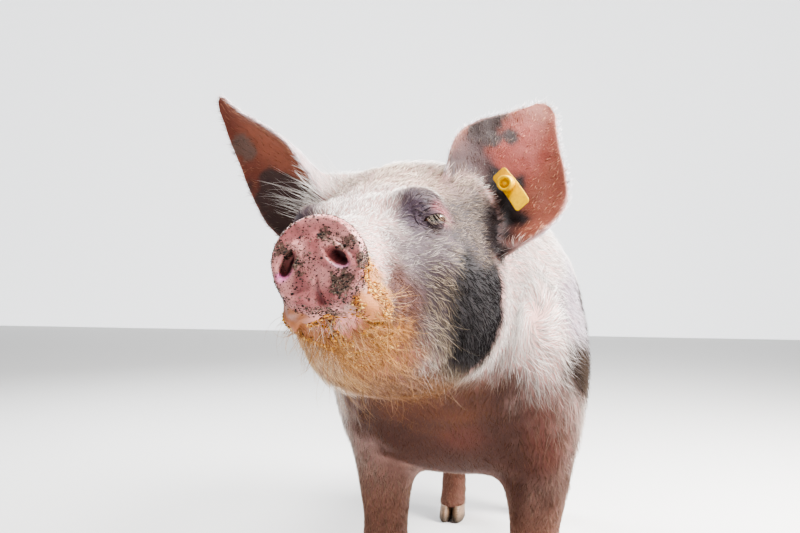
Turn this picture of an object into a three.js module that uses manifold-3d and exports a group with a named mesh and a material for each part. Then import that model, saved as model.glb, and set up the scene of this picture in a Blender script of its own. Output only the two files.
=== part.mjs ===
// A young domestic pig standing square with its head raised and turned a little to its right.
// Lengths are millimetres. The pig looks along -Y, +X is its left side and +Z is up.
//
// The body is one smooth field, negative inside: lofted sections for the trunk, head and legs,
// with rounded bulges for brow, cheek and jowl, blended where they meet. Each piece is the skin
// of that field on a grid of its own, parted from its neighbours by thin flat cuts.

import * as THREE from 'three';
import { mergeVertices } from 'three/addons/utils/BufferGeometryUtils.js';
import Module from 'manifold-3d';

const wasm = await Module();
wasm.setup();

// ---------------------------------------------------------------- driving dimensions

const GAP = 0.3; // clearance between neighbouring pieces
const SPAN = 3000; // edge of the blocks that part the body
const BLEND = { limb: 45, neck: 45, earRoot: 20, disc: 8, muzzle: 12, headBack: 40 };

// The regions whose skin is drawn on a grid of their own: corners of the box, grid size, and
// how far the skin may leave its own vertices to save faces.
const REGIONS = {
  snout: { low: [-92, -492, 485], high: [22, -424, 597], cell: 9.5, flatness: 0.25 },
  head: { low: [-200, -490, 400], high: [140, -120, 720], cell: 18.5, flatness: 0.3 },
  neck: { low: [-210, -260, 280], high: [190, 10, 700], cell: 33, flatness: 0.5 },
  shoulders: { low: [-200, -190, 225], high: [200, 215, 700], cell: 37, flatness: 0.7 },
  barrel: { low: [-200, 100, 200], high: [200, 530, 700], cell: 48, flatness: 0.7 },
  rump: { low: [-200, 410, 225], high: [200, 850, 700], cell: 37, flatness: 0.7 },
};
// A leg's region is a box round its column, from below the floor to a little over its cut.
const LEG_REGION = { aside: 60, front: 150, back: 110, below: 20, above: 30, cell: 21, flatness: 0.3 };
const SLIVER = 0.02; // faces thinner than this are merged into their neighbours

// Trunk, along Y: place, back line, belly line, height of the widest line, half width,
// squareness of the section, sideways offset of its centre.
const TRUNK = [
  [-300, 590, 455, 520, 65, 2.0, -34],
  [-240, 630, 432, 525, 88, 2.0, -30],
  [-170, 652, 400, 515, 112, 2.1, -22],
  [-110, 652, 345, 490, 132, 2.2, -12],
  [-60, 645, 297, 470, 148, 2.3, -5],
  [0, 634, 270, 455, 158, 2.3, 0],
  [100, 622, 258, 445, 162, 2.3, 0],
  [250, 624, 254, 445, 165, 2.3, 0],
  [400, 632, 260, 445, 165, 2.3, 0],
  [520, 635, 284, 455, 158, 2.3, 0],
  [620, 626, 316, 463, 151, 2.3, 0],
  [700, 606, 350, 472, 141, 2.2, 0],
  [770, 571, 388, 482, 116, 2.1, 0],
  [820, 530, 420, 480, 75, 2.0, 0],
];
const TRUNK_FRONT = { place: -330, blend: 60 };
const TRUNK_REAR = { place: 832, blend: 50 };

// Legs, by height: front and back edge from the leg's own place along Y, and the inner and
// outer edge from the middle of the body.
const FORELEG = [
  [30, -50, 20, 72, 128],
  [55, -36, 30, 74, 126],
  [80, -24, 34, 75, 125],
  [110, -18, 28, 77, 123],
  [145, -24, 28, 73, 127],
  [175, -34, 30, 69, 131],
  [205, -34, 36, 68, 132],
  [245, -40, 52, 64, 139],
  [290, -52, 72, 58, 148],
  [340, -72, 92, 48, 158],
  [400, -90, 100, 30, 160],
  [460, -90, 95, 20, 155],
];
const HINDLEG = [
  [30, -48, 22, 72, 128],
  [55, -30, 34, 74, 126],
  [80, -18, 40, 75, 125],
  [115, -8, 34, 78, 122],
  [155, -10, 36, 76, 124],
  [190, -16, 52, 73, 127],
  [220, -28, 66, 70, 131],
  [250, -58, 66, 66, 137],
  [290, -108, 64, 58, 146],
  [340, -148, 72, 45, 156],
  [400, -158, 85, 28, 160],
  [460, -150, 88, 18, 152],
];
const LEG_TOP = { height: 470, blend: 60 };
const LEG_FOOT = { height: 8, blend: 12 };
const LEG_SQUARENESS = 2.2;

// The four legs: name, side (1 is the pig's left), sections, place along Y, height of the cut
// that parts the leg from the trunk.
const LEGS = [
  { name: 'foreleg_left', side: 1, table: FORELEG, place: -18, cut: 250 },
  { name: 'foreleg_right', side: -1, table: FORELEG, place: 35, cut: 250 },
  { name: 'hindleg_left', side: 1, table: HINDLEG, place: 728, cut: 285 },
  { name: 'hindleg_right', side: -1, table: HINDLEG, place: 684, cut: 285 },
];

// The head has a frame of its own: u to the pig's left, s back from the snout disc, v up.
const SNOUT = new THREE.Vector3(-34.5, -467, 543);
const HEAD_TURN = { yaw: -1, pitch: 7, roll: 9 };

// Head, by s: top, bottom, height of the widest line, half width, squareness.
const HEAD = [
  [0, 31, -34, -1, 31, 2.0],
  [14, 30, -40, -4, 31, 2.1],
  [30, 34, -55, -10, 33, 2.2],
  [60, 43, -62, -12, 37, 2.3],
  [100, 55, -70, -12, 46, 2.3],
  [140, 72, -80, -12, 58, 2.3],
  [175, 88, -89, -14, 70, 2.2],
  [210, 101, -96, -16, 80, 2.2],
  [250, 112, -100, -16, 86, 2.1],
  [290, 113, -98, -12, 86, 2.1],
  [340, 100, -88, -8, 80, 2.0],
];
const HEAD_FRONT = 4;
const HEAD_BACK = 330;
const DISC = { radius: 35.5, middle: 6, halfDepth: 9 };

// Bulges on both sides of the head: centre, radii, blend.
const BULGES = [
  { centre: [49, 166, 63], radii: [21, 35, 20], blend: 22 }, // brow
  { centre: [60, 192, 6], radii: [26, 55, 28], blend: 30 }, // cheek bone
  { centre: [52, 235, -30], radii: [40, 64, 56], blend: 30 }, // jowl
  { centre: [26, 60, -34], radii: [16, 55, 16], blend: 16 }, // upper lip
];

// Ears. Along the ear, from its root: place, inner edge, outer edge, depth of the cup, bend.
// Each ear multiplies the outer edge by its own spread.
const EAR = [
  [-15, -18, 62, 44, -10],
  [0, -24, 71, 46, 0],
  [30, -41, 80, 42, 4],
  [60, -48, 78, 32, 6],
  [90, -40, 60, 22, 6],
  [120, -24, 37, 13, 3],
  [145, -13, 21, 7, -2],
  [158, -8, 13, 4, -6],
  [165, -1, 3, 3, -8],
];
const EAR_LENGTH = 165;
const EAR_THICKNESS = { root: 9, rim: 5 };
const EAR_START = -16; // where the leaf begins, inside the head
const EAR_GRID = { rows: 10, columns: 8 };
const EARS = [
  {
    name: 'ear_left', side: 1, root: [74, 274, 71], tip: [0.62, 0.3, 0.72],
    facing: [0.25, -0.95, 0.15], length: 170, spread: 1,
    base: [64, 273, 76], baseRadii: [31, 41, 36],
  },
  {
    name: 'ear_right', side: -1, root: [48, 270, 121], tip: [0.71, -0.19, 0.67],
    facing: [0.42, -0.66, -0.62], length: 174, spread: 0.82,
    base: [60, 274, 94], baseRadii: [36, 46, 45],
  },
];

// The eyes' centres lie under the skin by the depth, on the slope found from a start in u, s, v.
const EYE = { radius: 12, start: [65, 149, 49], depth: 8 };
const NOSTRILS = [
  { centre: [-18.5, -2, 3], radii: [5, 11, 8] },
  { centre: [14.5, -2, 1], radii: [6, 11, 7] },
];

// Cuts of the head: the snout behind its disc, and the mouth line with the lower jaw below it.
const SNOUT_CUT = 21;
const MOUTH = { front: [-30, -45], corner: [116, -36], width: 200, height: 120 };
// The head ends behind the ears on a slanting plane through these places in s and v.
const HEAD_CUT = { top: [322, 110], bottom: [262, -100] };

// Planes that part the trunk: neck from shoulders, then shoulders, barrel and rump.
const NECK_CUT = { place: [0, -105, 500], normal: [0, -0.94, 0.34] };
const SHOULDER_CUT = 175;
const RUMP_CUT = 460;

// A foot: two claws side by side, and two dewclaws behind.
const CLAW = { height: 32, cleft: 1.4, width: 26.5, outerShare: 0.62, roundness: 0.75 };
const CLAW_SECTIONS = [
  // height, front, back, share of the full width
  [0, -57, 8, 0.96],
  [7, -56, 12, 1.0],
  [20, -51, 15, 0.98],
  [CLAW.height, -44, 15, 0.93],
];
const DEWCLAW = {
  radii: [6.5, 7.5, 13], spread: 17, back: 31, height: 50, tilt: 24, sides: [6, 5],
};

// Tail: a hanging curl from the rump, tapering to its tip.
const TAIL = [
  [0, 786, 522],
  [1, 832, 534],
  [9, 862, 508],
  [14, 868, 472],
  [4, 864, 436],
  [-14, 868, 414],
  [-26, 884, 412],
  [-24, 898, 428],
];
const TAIL_RADIUS = { root: 17, tip: 5 };
const TAIL_TAPER = 1.3;
const TAIL_GRID = { steps: 12, sides: 7 };

// The tag in the left ear, by place along and across the ear. It leans off the ear's normal by
// two angles in degrees, across and along the ear.
const TAG = {
  along: 59.5, across: 21.8, leanAcross: -11, leanAlong: -28, pin: 3, boss: 8.5, bossEnd: 8,
  bossDepth: 12,
  button: 8, buttonTop: 5.6, buttonDepth: 2.2,
};
const HOLE_REACH = 20; // how far the pin's hole is cut on both sides of the ear
const FLAG = {
  length: 48, width: 18, thickness: 1.8, tail: 16, bend: 8, rise: 13, lift: 12.5, turn: -122,
};

// ---------------------------------------------------------------- materials

const COLOURS = {
  disc: [0xc98f8c, 0.55],
  face: [0xb9a8a2, 0.8],
  white: [0xe9e2d8, 0.85],
  ear: [0xb9735f, 0.7],
  skin: [0xc19a8a, 0.75],
  eye: [0x231a18, 0.15],
  claw: [0x8a7a68, 0.5],
  tag: [0xf0b90c, 0.4],
};

function paint(name) {
  const [color, roughness] = COLOURS[name];
  return new THREE.MeshStandardMaterial({ color, roughness, metalness: 0 });
}

// ---------------------------------------------------------------- curves and blends

// A smooth curve through (place, value) pairs: a cubic Hermite curve whose slope at each pair
// is the mean of the slopes on its two sides, weighted towards the shorter side.
class Curve {
  constructor(places, values) {
    this.places = places;
    this.values = values;
    const steps = places.slice(1).map((place, i) => place - places[i]);
    const rises = steps.map((step, i) => (values[i + 1] - values[i]) / step);
    this.slopes = places.map((_, i) => {
      if (i === 0) return rises[0];
      if (i === steps.length) return rises[i - 1];
      return (rises[i - 1] * steps[i] + rises[i] * steps[i - 1]) / (steps[i - 1] + steps[i]);
    });
  }

  at(place) {
    const { places, values, slopes } = this;
    const last = places.length - 1;
    if (place <= places[0]) return values[0];
    if (place >= places[last]) return values[last];
    let i = 0;
    while (place > places[i + 1]) i += 1;
    const step = places[i + 1] - places[i];
    const t = (place - places[i]) / step;
    const rest = 1 - t;
    return (
      (1 + 2 * t) * rest * rest * values[i] +
      t * rest * rest * step * slopes[i] +
      t * t * (3 - 2 * t) * values[i + 1] -
      t * t * rest * step * slopes[i + 1]
    );
  }
}

function curvesOf(table) {
  const places = table.map((row) => row[0]);
  return table[0].slice(1).map((_, i) => new Curve(places, table.map((row) => row[i + 1])));
}

// The lower of two distances, rounded off where they differ by less than the blend.
function join(a, b, blend) {
  const h = Math.max(blend - Math.abs(a - b), 0) / blend;
  return Math.min(a, b) - (h * h * blend) / 4;
}

// The higher of two distances, rounded off in the same way.
function meet(a, b, blend) {
  return -join(-a, -b, blend);
}

// Distance from a superellipse section whose upper and lower halves differ in height.
function sectionDistance(x, z, halfWidth, top, bottom, middle, squareness) {
  const height = z > middle ? top - middle : middle - bottom;
  const across = Math.abs(x / halfWidth);
  const up = Math.abs((z - middle) / height);
  const ratio = (across ** squareness + up ** squareness) ** (1 / squareness);
  const reach = Math.hypot(x, z - middle);
  return ratio > 1e-4 ? reach - reach / ratio : -Math.min(halfWidth, height);
}

function ellipsoidDistance(point, centre, radii) {
  const scaled = point.map((value, i) => (value - centre[i]) / radii[i]);
  const reach = Math.hypot(...scaled);
  const slope = Math.hypot(...scaled.map((value, i) => value / radii[i]));
  return (reach * (reach - 1)) / Math.max(slope, 1e-9);
}

// ---------------------------------------------------------------- the body field

const trunkCurves = curvesOf(TRUNK);

function trunkDistance([x, y, z]) {
  const [top, bottom, middle, halfWidth, squareness, offset] = trunkCurves.map((c) => c.at(y));
  const around = sectionDistance(x - offset, z, halfWidth, top, bottom, middle, squareness);
  const behind = meet(around, y - TRUNK_REAR.place, TRUNK_REAR.blend);
  return meet(behind, TRUNK_FRONT.place - y, TRUNK_FRONT.blend);
}

const legCurves = LEGS.map((leg) => curvesOf(leg.table));

function legDistance([x, y, z], index) {
  const { side, place } = LEGS[index];
  const [front, back, inner, outer] = legCurves[index].map((c) => c.at(z));
  const across = x * side - (inner + outer) / 2;
  const along = y - place - (front + back) / 2;
  const halfDepth = (back - front) / 2;
  const halfWidth = (outer - inner) / 2;
  const around = sectionDistance(
    across, along, halfWidth, halfDepth, -halfDepth, 0, LEG_SQUARENESS,
  );
  const below = meet(around, z - LEG_TOP.height, LEG_TOP.blend);
  return meet(below, LEG_FOOT.height - z, LEG_FOOT.blend);
}

const headMatrix = new THREE.Matrix4()
  .makeRotationZ(THREE.MathUtils.degToRad(HEAD_TURN.yaw))
  .multiply(new THREE.Matrix4().makeRotationX(THREE.MathUtils.degToRad(-HEAD_TURN.pitch)))
  .multiply(new THREE.Matrix4().makeRotationY(THREE.MathUtils.degToRad(-HEAD_TURN.roll)))
  .setPosition(SNOUT);
const toHeadMatrix = headMatrix.clone().invert();

function toHead(point) {
  return new THREE.Vector3(...point).applyMatrix4(toHeadMatrix).toArray();
}

function fromHead(point) {
  return new THREE.Vector3(...point).applyMatrix4(headMatrix).toArray();
}

const headCurves = curvesOf(HEAD);

// The head without ears, in its own frame. The bulges are the same on both sides.
function headDistance([u, s, v]) {
  const [top, bottom, middle, halfWidth, squareness] = headCurves.map((c) => c.at(s));
  let field = sectionDistance(u, v, halfWidth, top, bottom, middle, squareness);
  field = meet(field, HEAD_FRONT - s, BLEND.muzzle);
  field = meet(field, s - HEAD_BACK, BLEND.headBack);
  const depth = Math.abs(s - DISC.middle) - DISC.halfDepth;
  field = join(field, meet(Math.hypot(u, v) - DISC.radius, depth, BLEND.disc), BLEND.disc);
  for (const { centre, radii, blend } of BULGES) {
    field = join(field, ellipsoidDistance([Math.abs(u), s, v], centre, radii), blend);
  }
  const roots = EARS.map(({ side, base, baseRadii }) =>
    ellipsoidDistance([u * side, s, v], base, baseRadii),
  );
  return join(field, Math.min(...roots), BLEND.earRoot);
}

function bodyDistance(point) {
  let field = join(trunkDistance(point), headDistance(toHead(point)), BLEND.neck);
  LEGS.forEach((_, i) => {
    field = join(field, legDistance(point, i), BLEND.limb);
  });
  return field;
}

function gradientOf(field, point, step = 1) {
  return point.map((_, i) => {
    const ahead = [...point];
    const behind = [...point];
    ahead[i] += step;
    behind[i] -= step;
    return (field(ahead) - field(behind)) / (2 * step);
  });
}

// Moves a point along the slope of the field until the field has the wanted value there.
function settle(field, point, value = 0, steps = 3, longest = 6) {
  let place = [...point];
  for (let i = 0; i < steps; i += 1) {
    const slope = gradientOf(field, place);
    const steepness = Math.max(slope.reduce((sum, g) => sum + g * g, 0), 0.05);
    const share = (field(place) - value) / steepness;
    const move = slope.map((g) => g * share);
    const scale = Math.min(1, longest / Math.max(Math.hypot(...move), 1e-9));
    place = place.map((p, k) => p - move[k] * scale);
  }
  return place;
}

// ---------------------------------------------------------------- skins and solids

const CORNERS = [
  [0, 0],
  [1, 0],
  [1, 1],
  [0, 1],
];

// The skin of a field inside a box, as one closed mesh. Each grid cell that the skin passes
// through has one vertex, at the mean of the crossings of its edges, and each crossed edge has
// one square face round it. The vertices are then settled on the field.
function skinOf(field, low, high, cell) {
  const inBox = (p) => Math.max(...p.map((v, i) => Math.max(low[i] - v, v - high[i])));
  const closed = (p) => Math.max(field(p), inBox(p));
  const count = low.map((v, i) => Math.ceil((high[i] - v) / cell) + 4);
  const start = low.map((v) => v - 1.5 * cell);
  const [nx, ny, nz] = count;
  const indexOf = (i, j, k) => (i * ny + j) * nz + k;
  const placeOf = (i, j, k) => [start[0] + i * cell, start[1] + j * cell, start[2] + k * cell];
  const values = new Float64Array(nx * ny * nz);
  for (let i = 0; i < nx; i += 1) {
    for (let j = 0; j < ny; j += 1) {
      for (let k = 0; k < nz; k += 1) values[indexOf(i, j, k)] = closed(placeOf(i, j, k));
    }
  }

  const sums = new Map();
  const squares = [];
  const step = [
    [1, 0, 0],
    [0, 1, 0],
    [0, 0, 1],
  ];
  for (let i = 1; i < nx - 1; i += 1) {
    for (let j = 1; j < ny - 1; j += 1) {
      for (let k = 1; k < nz - 1; k += 1) {
        for (let axis = 0; axis < 3; axis += 1) {
          const here = values[indexOf(i, j, k)];
          const next = values[indexOf(i + step[axis][0], j + step[axis][1], k + step[axis][2])];
          if (here < 0 === next < 0) continue;
          const crossing = placeOf(i, j, k);
          crossing[axis] += (cell * here) / (here - next);
          const first = (axis + 1) % 3;
          const second = (axis + 2) % 3;
          const square = CORNERS.map(([p, q]) => {
            const corner = [i, j, k];
            corner[first] -= p;
            corner[second] -= q;
            const key = indexOf(...corner);
            const sum = sums.get(key) ?? [0, 0, 0, 0];
            sums.set(key, [...crossing.map((v, a) => sum[a] + v), sum[3] + 1]);
            return key;
          });
          squares.push(here < 0 ? square : square.reverse());
        }
      }
    }
  }

  const numbers = new Map([...sums.keys()].map((key, number) => [key, number]));
  const points = [...sums.values()].map(([x, y, z, n]) => settle(closed, [x / n, y / n, z / n]));
  const faces = squares.flatMap((square) => {
    const [a, b, c, d] = square.map((key) => numbers.get(key));
    const across = (p, q) => Math.hypot(...points[p].map((v, i) => v - points[q][i]));
    return across(a, c) <= across(b, d) ? [a, b, c, a, c, d] : [a, b, d, b, c, d];
  });
  return meshOf(points, faces);
}

function meshOf(points, faces) {
  const geometry = new THREE.BufferGeometry();
  geometry.setAttribute('position', new THREE.Float32BufferAttribute(points.flat(), 3));
  geometry.setIndex(faces);
  return geometry;
}

function solidOf(geometry) {
  const bare = geometry.clone();
  bare.deleteAttribute('normal');
  bare.deleteAttribute('uv');
  const merged = mergeVertices(bare);
  const vertProperties = new Float32Array(merged.attributes.position.array);
  const triVerts = new Uint32Array(merged.index.array);
  return new wasm.Manifold(new wasm.Mesh({ numProp: 3, vertProperties, triVerts }));
}

// The largest body of a solid, as a geometry with vertices closer than a hair's breadth merged.
function geometryOf(solid) {
  const bodies = solid.decompose().sort((a, b) => b.volume() - a.volume());
  const mesh = bodies[0].simplify(SLIVER).getMesh();
  const geometry = new THREE.BufferGeometry();
  geometry.setAttribute('position', new THREE.BufferAttribute(mesh.vertProperties, 3));
  geometry.setIndex(new THREE.BufferAttribute(mesh.triVerts, 1));
  return geometry;
}

// A block that fills everything ahead of a plane.
function ahead(place, normal) {
  const turn = new THREE.Quaternion().setFromUnitVectors(
    new THREE.Vector3(0, 0, 1), new THREE.Vector3(...normal).normalize(),
  );
  const block = new THREE.BoxGeometry(SPAN, SPAN, SPAN).translate(0, 0, SPAN / 2);
  return solidOf(block.applyQuaternion(turn).translate(...place));
}

// Both sides of a solid parted by a plane: the part behind it and the part ahead of it.
function part(solid, place, normal) {
  const unit = new THREE.Vector3(...normal).normalize();
  const shifted = (by) => new THREE.Vector3(...place).addScaledVector(unit, by).toArray();
  const behind = solid.subtract(ahead(shifted(-GAP / 2), normal));
  const front = solid.intersect(ahead(shifted(GAP / 2), normal));
  return [behind, front];
}

function headDirection(direction) {
  return new THREE.Vector3(...direction).transformDirection(headMatrix).toArray();
}

// Rings of points joined into a closed skin, with a flat cap on the first and last ring.
function ringSkin(rings) {
  const size = rings[0].length;
  const faces = [];
  for (let r = 0; r + 1 < rings.length; r += 1) {
    for (let i = 0; i < size; i += 1) {
      const [a, b] = [r * size + i, r * size + ((i + 1) % size)];
      faces.push(a, b, b + size, a, b + size, a + size);
    }
  }
  const last = (rings.length - 1) * size;
  for (let i = 1; i + 1 < size; i += 1) {
    faces.push(0, i + 1, i, last, last + i, last + i + 1);
  }
  return meshOf(rings.flat(), faces);
}

// ---------------------------------------------------------------- ears

const earCurves = curvesOf(EAR);
const NEARBY = { along: 0.5, edge: 0.0125 }; // steps to neighbours that give the slope of the ear

class Ear {
  constructor({ name, side, root, tip, facing, length, spread }) {
    Object.assign(this, { name, side, root, length, spread });
    this.scale = length / EAR_LENGTH;
    this.along = new THREE.Vector3(...tip).normalize();
    this.facing = new THREE.Vector3(...facing);
    this.facing.addScaledVector(this.along, -this.facing.dot(this.along)).normalize();
    this.across = new THREE.Vector3().crossVectors(this.along, this.facing);
  }

  // Edges, cup depth and bend at a place along the ear.
  measures(along) {
    const values = earCurves.map((curve) => curve.at(along / this.scale) * this.scale);
    values[1] *= this.spread;
    return values;
  }

  // A point of the ear's middle surface: how far along, and -1 to 1 from edge to edge.
  point(along, edge) {
    const [inner, outer, cup, bend] = this.measures(along);
    const across = (inner + outer) / 2 + (edge * (outer - inner)) / 2;
    const p = new THREE.Vector3(...this.root)
      .addScaledVector(this.along, along)
      .addScaledVector(this.across, across)
      .addScaledVector(this.facing, bend + cup * edge * edge);
    p.x *= this.side;
    return fromHead(p.toArray());
  }

  // The closed leaf: front and back surfaces offset from the middle one along its normal.
  geometry() {
    const { rows, columns } = EAR_GRID;
    const first = EAR_START * this.scale;
    const points = [];
    for (const sign of [1, -1]) {
      for (let i = 0; i <= rows; i += 1) {
        const along = first + ((this.length - first) * i) / rows;
        for (let j = 0; j <= columns; j += 1) {
          const edge = -1 + (2 * j) / columns;
          points.push(this.offsetPoint(along, edge, sign, i / rows));
        }
      }
    }
    const layer = (rows + 1) * (columns + 1);
    const at = (i, j, back) => i * (columns + 1) + j + back * layer;
    const faces = [];
    const quad = (a, b, c, d) => faces.push(a, b, c, a, c, d);
    for (let i = 0; i < rows; i += 1) {
      for (let j = 0; j < columns; j += 1) {
        quad(at(i, j, 0), at(i + 1, j, 0), at(i + 1, j + 1, 0), at(i, j + 1, 0));
        quad(at(i, j, 1), at(i, j + 1, 1), at(i + 1, j + 1, 1), at(i + 1, j, 1));
      }
      quad(at(i, 0, 0), at(i, 0, 1), at(i + 1, 0, 1), at(i + 1, 0, 0));
      quad(at(i, columns, 1), at(i, columns, 0), at(i + 1, columns, 0), at(i + 1, columns, 1));
    }
    for (let j = 0; j < columns; j += 1) {
      quad(at(0, j, 1), at(0, j, 0), at(0, j + 1, 0), at(0, j + 1, 1));
      quad(at(rows, j, 0), at(rows, j, 1), at(rows, j + 1, 1), at(rows, j + 1, 0));
    }
    if (this.side < 0) {
      for (let f = 0; f < faces.length; f += 3) {
        [faces[f + 1], faces[f + 2]] = [faces[f + 2], faces[f + 1]];
      }
    }
    return meshOf(points, faces);
  }

  offsetPoint(along, edge, sign, share) {
    const middle = new THREE.Vector3(...this.point(along, edge));
    const up = new THREE.Vector3(...this.point(along + NEARBY.along, edge)).sub(middle);
    const side = new THREE.Vector3(...this.point(along, edge + NEARBY.edge)).sub(middle);
    const normal = up.cross(side).normalize().multiplyScalar(this.side);
    const body = Math.sqrt(Math.max(1 - edge * edge, 0)) * (1 - share);
    const thickness = EAR_THICKNESS.rim + (EAR_THICKNESS.root - EAR_THICKNESS.rim) * body;
    return middle.addScaledVector(normal, (sign * thickness) / 2).toArray();
  }
}

// ---------------------------------------------------------------- whole regions

// A skin grown outwards by the gap, to cut what is seated in or on the body.
function grown(geometry, field) {
  const copy = geometry.clone();
  const position = copy.attributes.position;
  for (let i = 0; i < position.count; i += 1) {
    const point = [position.getX(i), position.getY(i), position.getZ(i)];
    const slope = gradientOf(field, point);
    const steepness = Math.hypot(...slope);
    position.setXYZ(i, ...point.map((v, k) => v + (slope[k] / steepness) * 2 * GAP));
  }
  return copy;
}

const skins = {};
const wholes = {};
for (const [name, { low, high, cell, flatness }] of Object.entries(REGIONS)) {
  skins[name] = skinOf(bodyDistance, low, high, cell);
  wholes[name] = solidOf(skins[name]).simplify(flatness);
}
const headGrown = solidOf(grown(skins.head, bodyDistance));

const pieces = new Map(); // name to [geometry, colour name]

function keep(name, solid, colour) {
  pieces.set(name, [geometryOf(solid), colour]);
}

// ---- head, snout, lower jaw and eyes

const cutDirection = new THREE.Vector2(
  HEAD_CUT.top[0] - HEAD_CUT.bottom[0], HEAD_CUT.top[1] - HEAD_CUT.bottom[1],
).normalize();
const headCutPlace = fromHead([0, ...HEAD_CUT.top]);
const headCutNormal = headDirection([0, cutDirection.y, -cutDirection.x]);

function mouthBlock(gap) {
  const [frontS, frontV] = MOUTH.front;
  const [cornerS, cornerV] = MOUTH.corner;
  const slope = Math.atan2(cornerV - frontV, cornerS - frontS);
  const length = Math.hypot(cornerS - frontS, cornerV - frontV);
  const block = new THREE.BoxGeometry(MOUTH.width, length + 2 * gap, MOUTH.height + 2 * gap);
  block.translate(0, length / 2, -MOUTH.height / 2).rotateX(slope);
  return solidOf(block.translate(0, frontS, frontV).applyMatrix4(headMatrix));
}

function eyeCentre(side) {
  const [u, s, v] = EYE.start;
  const skin = settle(bodyDistance, fromHead([u * side, s, v]), 0, 8);
  const slope = gradientOf(bodyDistance, skin);
  const steepness = Math.hypot(...slope);
  return skin.map((p, i) => p - (slope[i] / steepness) * EYE.depth);
}

function ball(radius, centre, scale = [1, 1, 1], sides = [10, 7]) {
  return new THREE.SphereGeometry(radius, ...sides).rotateX(Math.PI / 2).scale(...scale)
    .translate(...centre);
}

const snoutCut = [fromHead([0, SNOUT_CUT, 0]), headDirection([0, 1, 0])];
const [headFront] = part(wholes.head, headCutPlace, headCutNormal);
const jaw = headFront.intersect(mouthBlock(0));
const [, face] = part(headFront.subtract(mouthBlock(GAP)), ...snoutCut);
const [snoutWhole] = part(wholes.snout.subtract(mouthBlock(GAP)), ...snoutCut);
const pits = NOSTRILS.map(({ centre, radii }) =>
  solidOf(ball(1, centre, radii).applyMatrix4(headMatrix)),
);
keep('snout', pits.reduce((solid, pit) => solid.subtract(pit), snoutWhole), 'disc');
keep('lower_jaw', jaw, 'skin');

let head = face;
for (const [name, side] of [['eye_left', 1], ['eye_right', -1]]) {
  const centre = eyeCentre(side);
  head = head.subtract(solidOf(ball(EYE.radius + 2 * GAP, centre)));
  keep(name, solidOf(ball(EYE.radius, centre)), 'eye');
}

// ---- ears and the tag

const neckRest = part(wholes.neck, headCutPlace, headCutNormal)[1];
const [, neck] = part(neckRest, NECK_CUT.place, NECK_CUT.normal);
keep('neck', neck, 'white');

const ears = EARS.map((measures) => new Ear(measures));
const [tagEar] = ears;

// Turns a geometry made round the Z axis so that it stands on the tag's place in the ear.
function onEar(geometry) {
  const { along, across, leanAcross, leanAlong } = TAG;
  const [inner, outer] = tagEar.measures(along);
  const edge = (2 * across - inner - outer) / (outer - inner);
  const middle = new THREE.Vector3(...tagEar.point(along, edge));
  const up = new THREE.Vector3(...tagEar.point(along + NEARBY.along, edge)).sub(middle).normalize();
  const side = new THREE.Vector3(...tagEar.point(along, edge + NEARBY.edge)).sub(middle).normalize();
  const normal = new THREE.Vector3().crossVectors(side, up).normalize();
  const beside = new THREE.Vector3().crossVectors(up, normal);
  normal.addScaledVector(beside, Math.tan(THREE.MathUtils.degToRad(leanAcross)))
    .addScaledVector(up, Math.tan(THREE.MathUtils.degToRad(leanAlong))).normalize();
  up.addScaledVector(normal, -up.dot(normal)).normalize();
  beside.crossVectors(up, normal);
  return geometry.applyMatrix4(new THREE.Matrix4().makeBasis(beside, up, normal)
    .setPosition(middle));
}

function disc(radius, from, to, sides = 8) {
  const cylinder = new THREE.CylinderGeometry(radius, radius, to - from, sides);
  return cylinder.rotateX(Math.PI / 2).translate(0, 0, (from + to) / 2);
}

function lathe(profile, sides) {
  const points = profile.map(([radius, height]) => new THREE.Vector2(radius, height));
  return new THREE.LatheGeometry(points, sides).rotateX(Math.PI / 2);
}

const flagFront = FLAG.lift + FLAG.thickness;
const studProfile = [
  [0, -TAG.buttonTop - TAG.buttonDepth],
  [TAG.button, -TAG.buttonTop - TAG.buttonDepth],
  [TAG.button, -TAG.buttonTop],
  [TAG.pin, -TAG.buttonTop],
  [TAG.pin, flagFront + 2 * GAP],
  [TAG.boss, flagFront + 2 * GAP],
  [TAG.bossEnd, flagFront + TAG.bossDepth],
  [0, flagFront + TAG.bossDepth],
];
const pinHole = solidOf(onEar(disc(TAG.pin + GAP, -HOLE_REACH, HOLE_REACH)));
const buttonRoom = solidOf(onEar(disc(TAG.button + 1, -HOLE_REACH, -TAG.buttonTop + GAP)));

for (const ear of ears) {
  let solid = solidOf(ear.geometry()).subtract(headGrown);
  if (ear === tagEar) solid = solid.subtract(pinHole).subtract(buttonRoom);
  keep(ear.name, solid, 'ear');
}

keep('head', head.subtract(buttonRoom).subtract(pinHole), 'face');
keep('ear_tag_stud', solidOf(onEar(lathe(studProfile, 8))), 'tag');

// The flag is a plate bent away from the ear beyond the pin.
function flagGeometry() {
  const { tail, bend, rise, length, width, thickness, lift } = FLAG;
  const shape = new THREE.Shape();
  shape.moveTo(-tail, lift);
  shape.lineTo(bend, lift);
  shape.lineTo(length - tail, lift + rise);
  shape.lineTo(length - tail - thickness / 2, lift + rise + thickness);
  shape.lineTo(bend - thickness / 2, lift + thickness);
  shape.lineTo(-tail, lift + thickness);
  shape.closePath();
  const plate = new THREE.ExtrudeGeometry(shape, { depth: width, bevelEnabled: false });
  plate.translate(0, 0, -width / 2).rotateX(Math.PI / 2).rotateZ(Math.PI / 2);
  return plate.rotateZ(THREE.MathUtils.degToRad(FLAG.turn));
}
keep('ear_tag_flag', solidOf(onEar(flagGeometry())).subtract(pinHole), 'tag');

// ---- trunk

function legBox({ side, place, cut }, top) {
  const { aside, front, back, below } = LEG_REGION;
  const middle = (side * (FORELEG[0][3] + FORELEG[0][4])) / 2;
  return {
    middle,
    low: [middle - aside, place - front, -below],
    high: [middle + aside, place + back, cut + top],
  };
}

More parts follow.
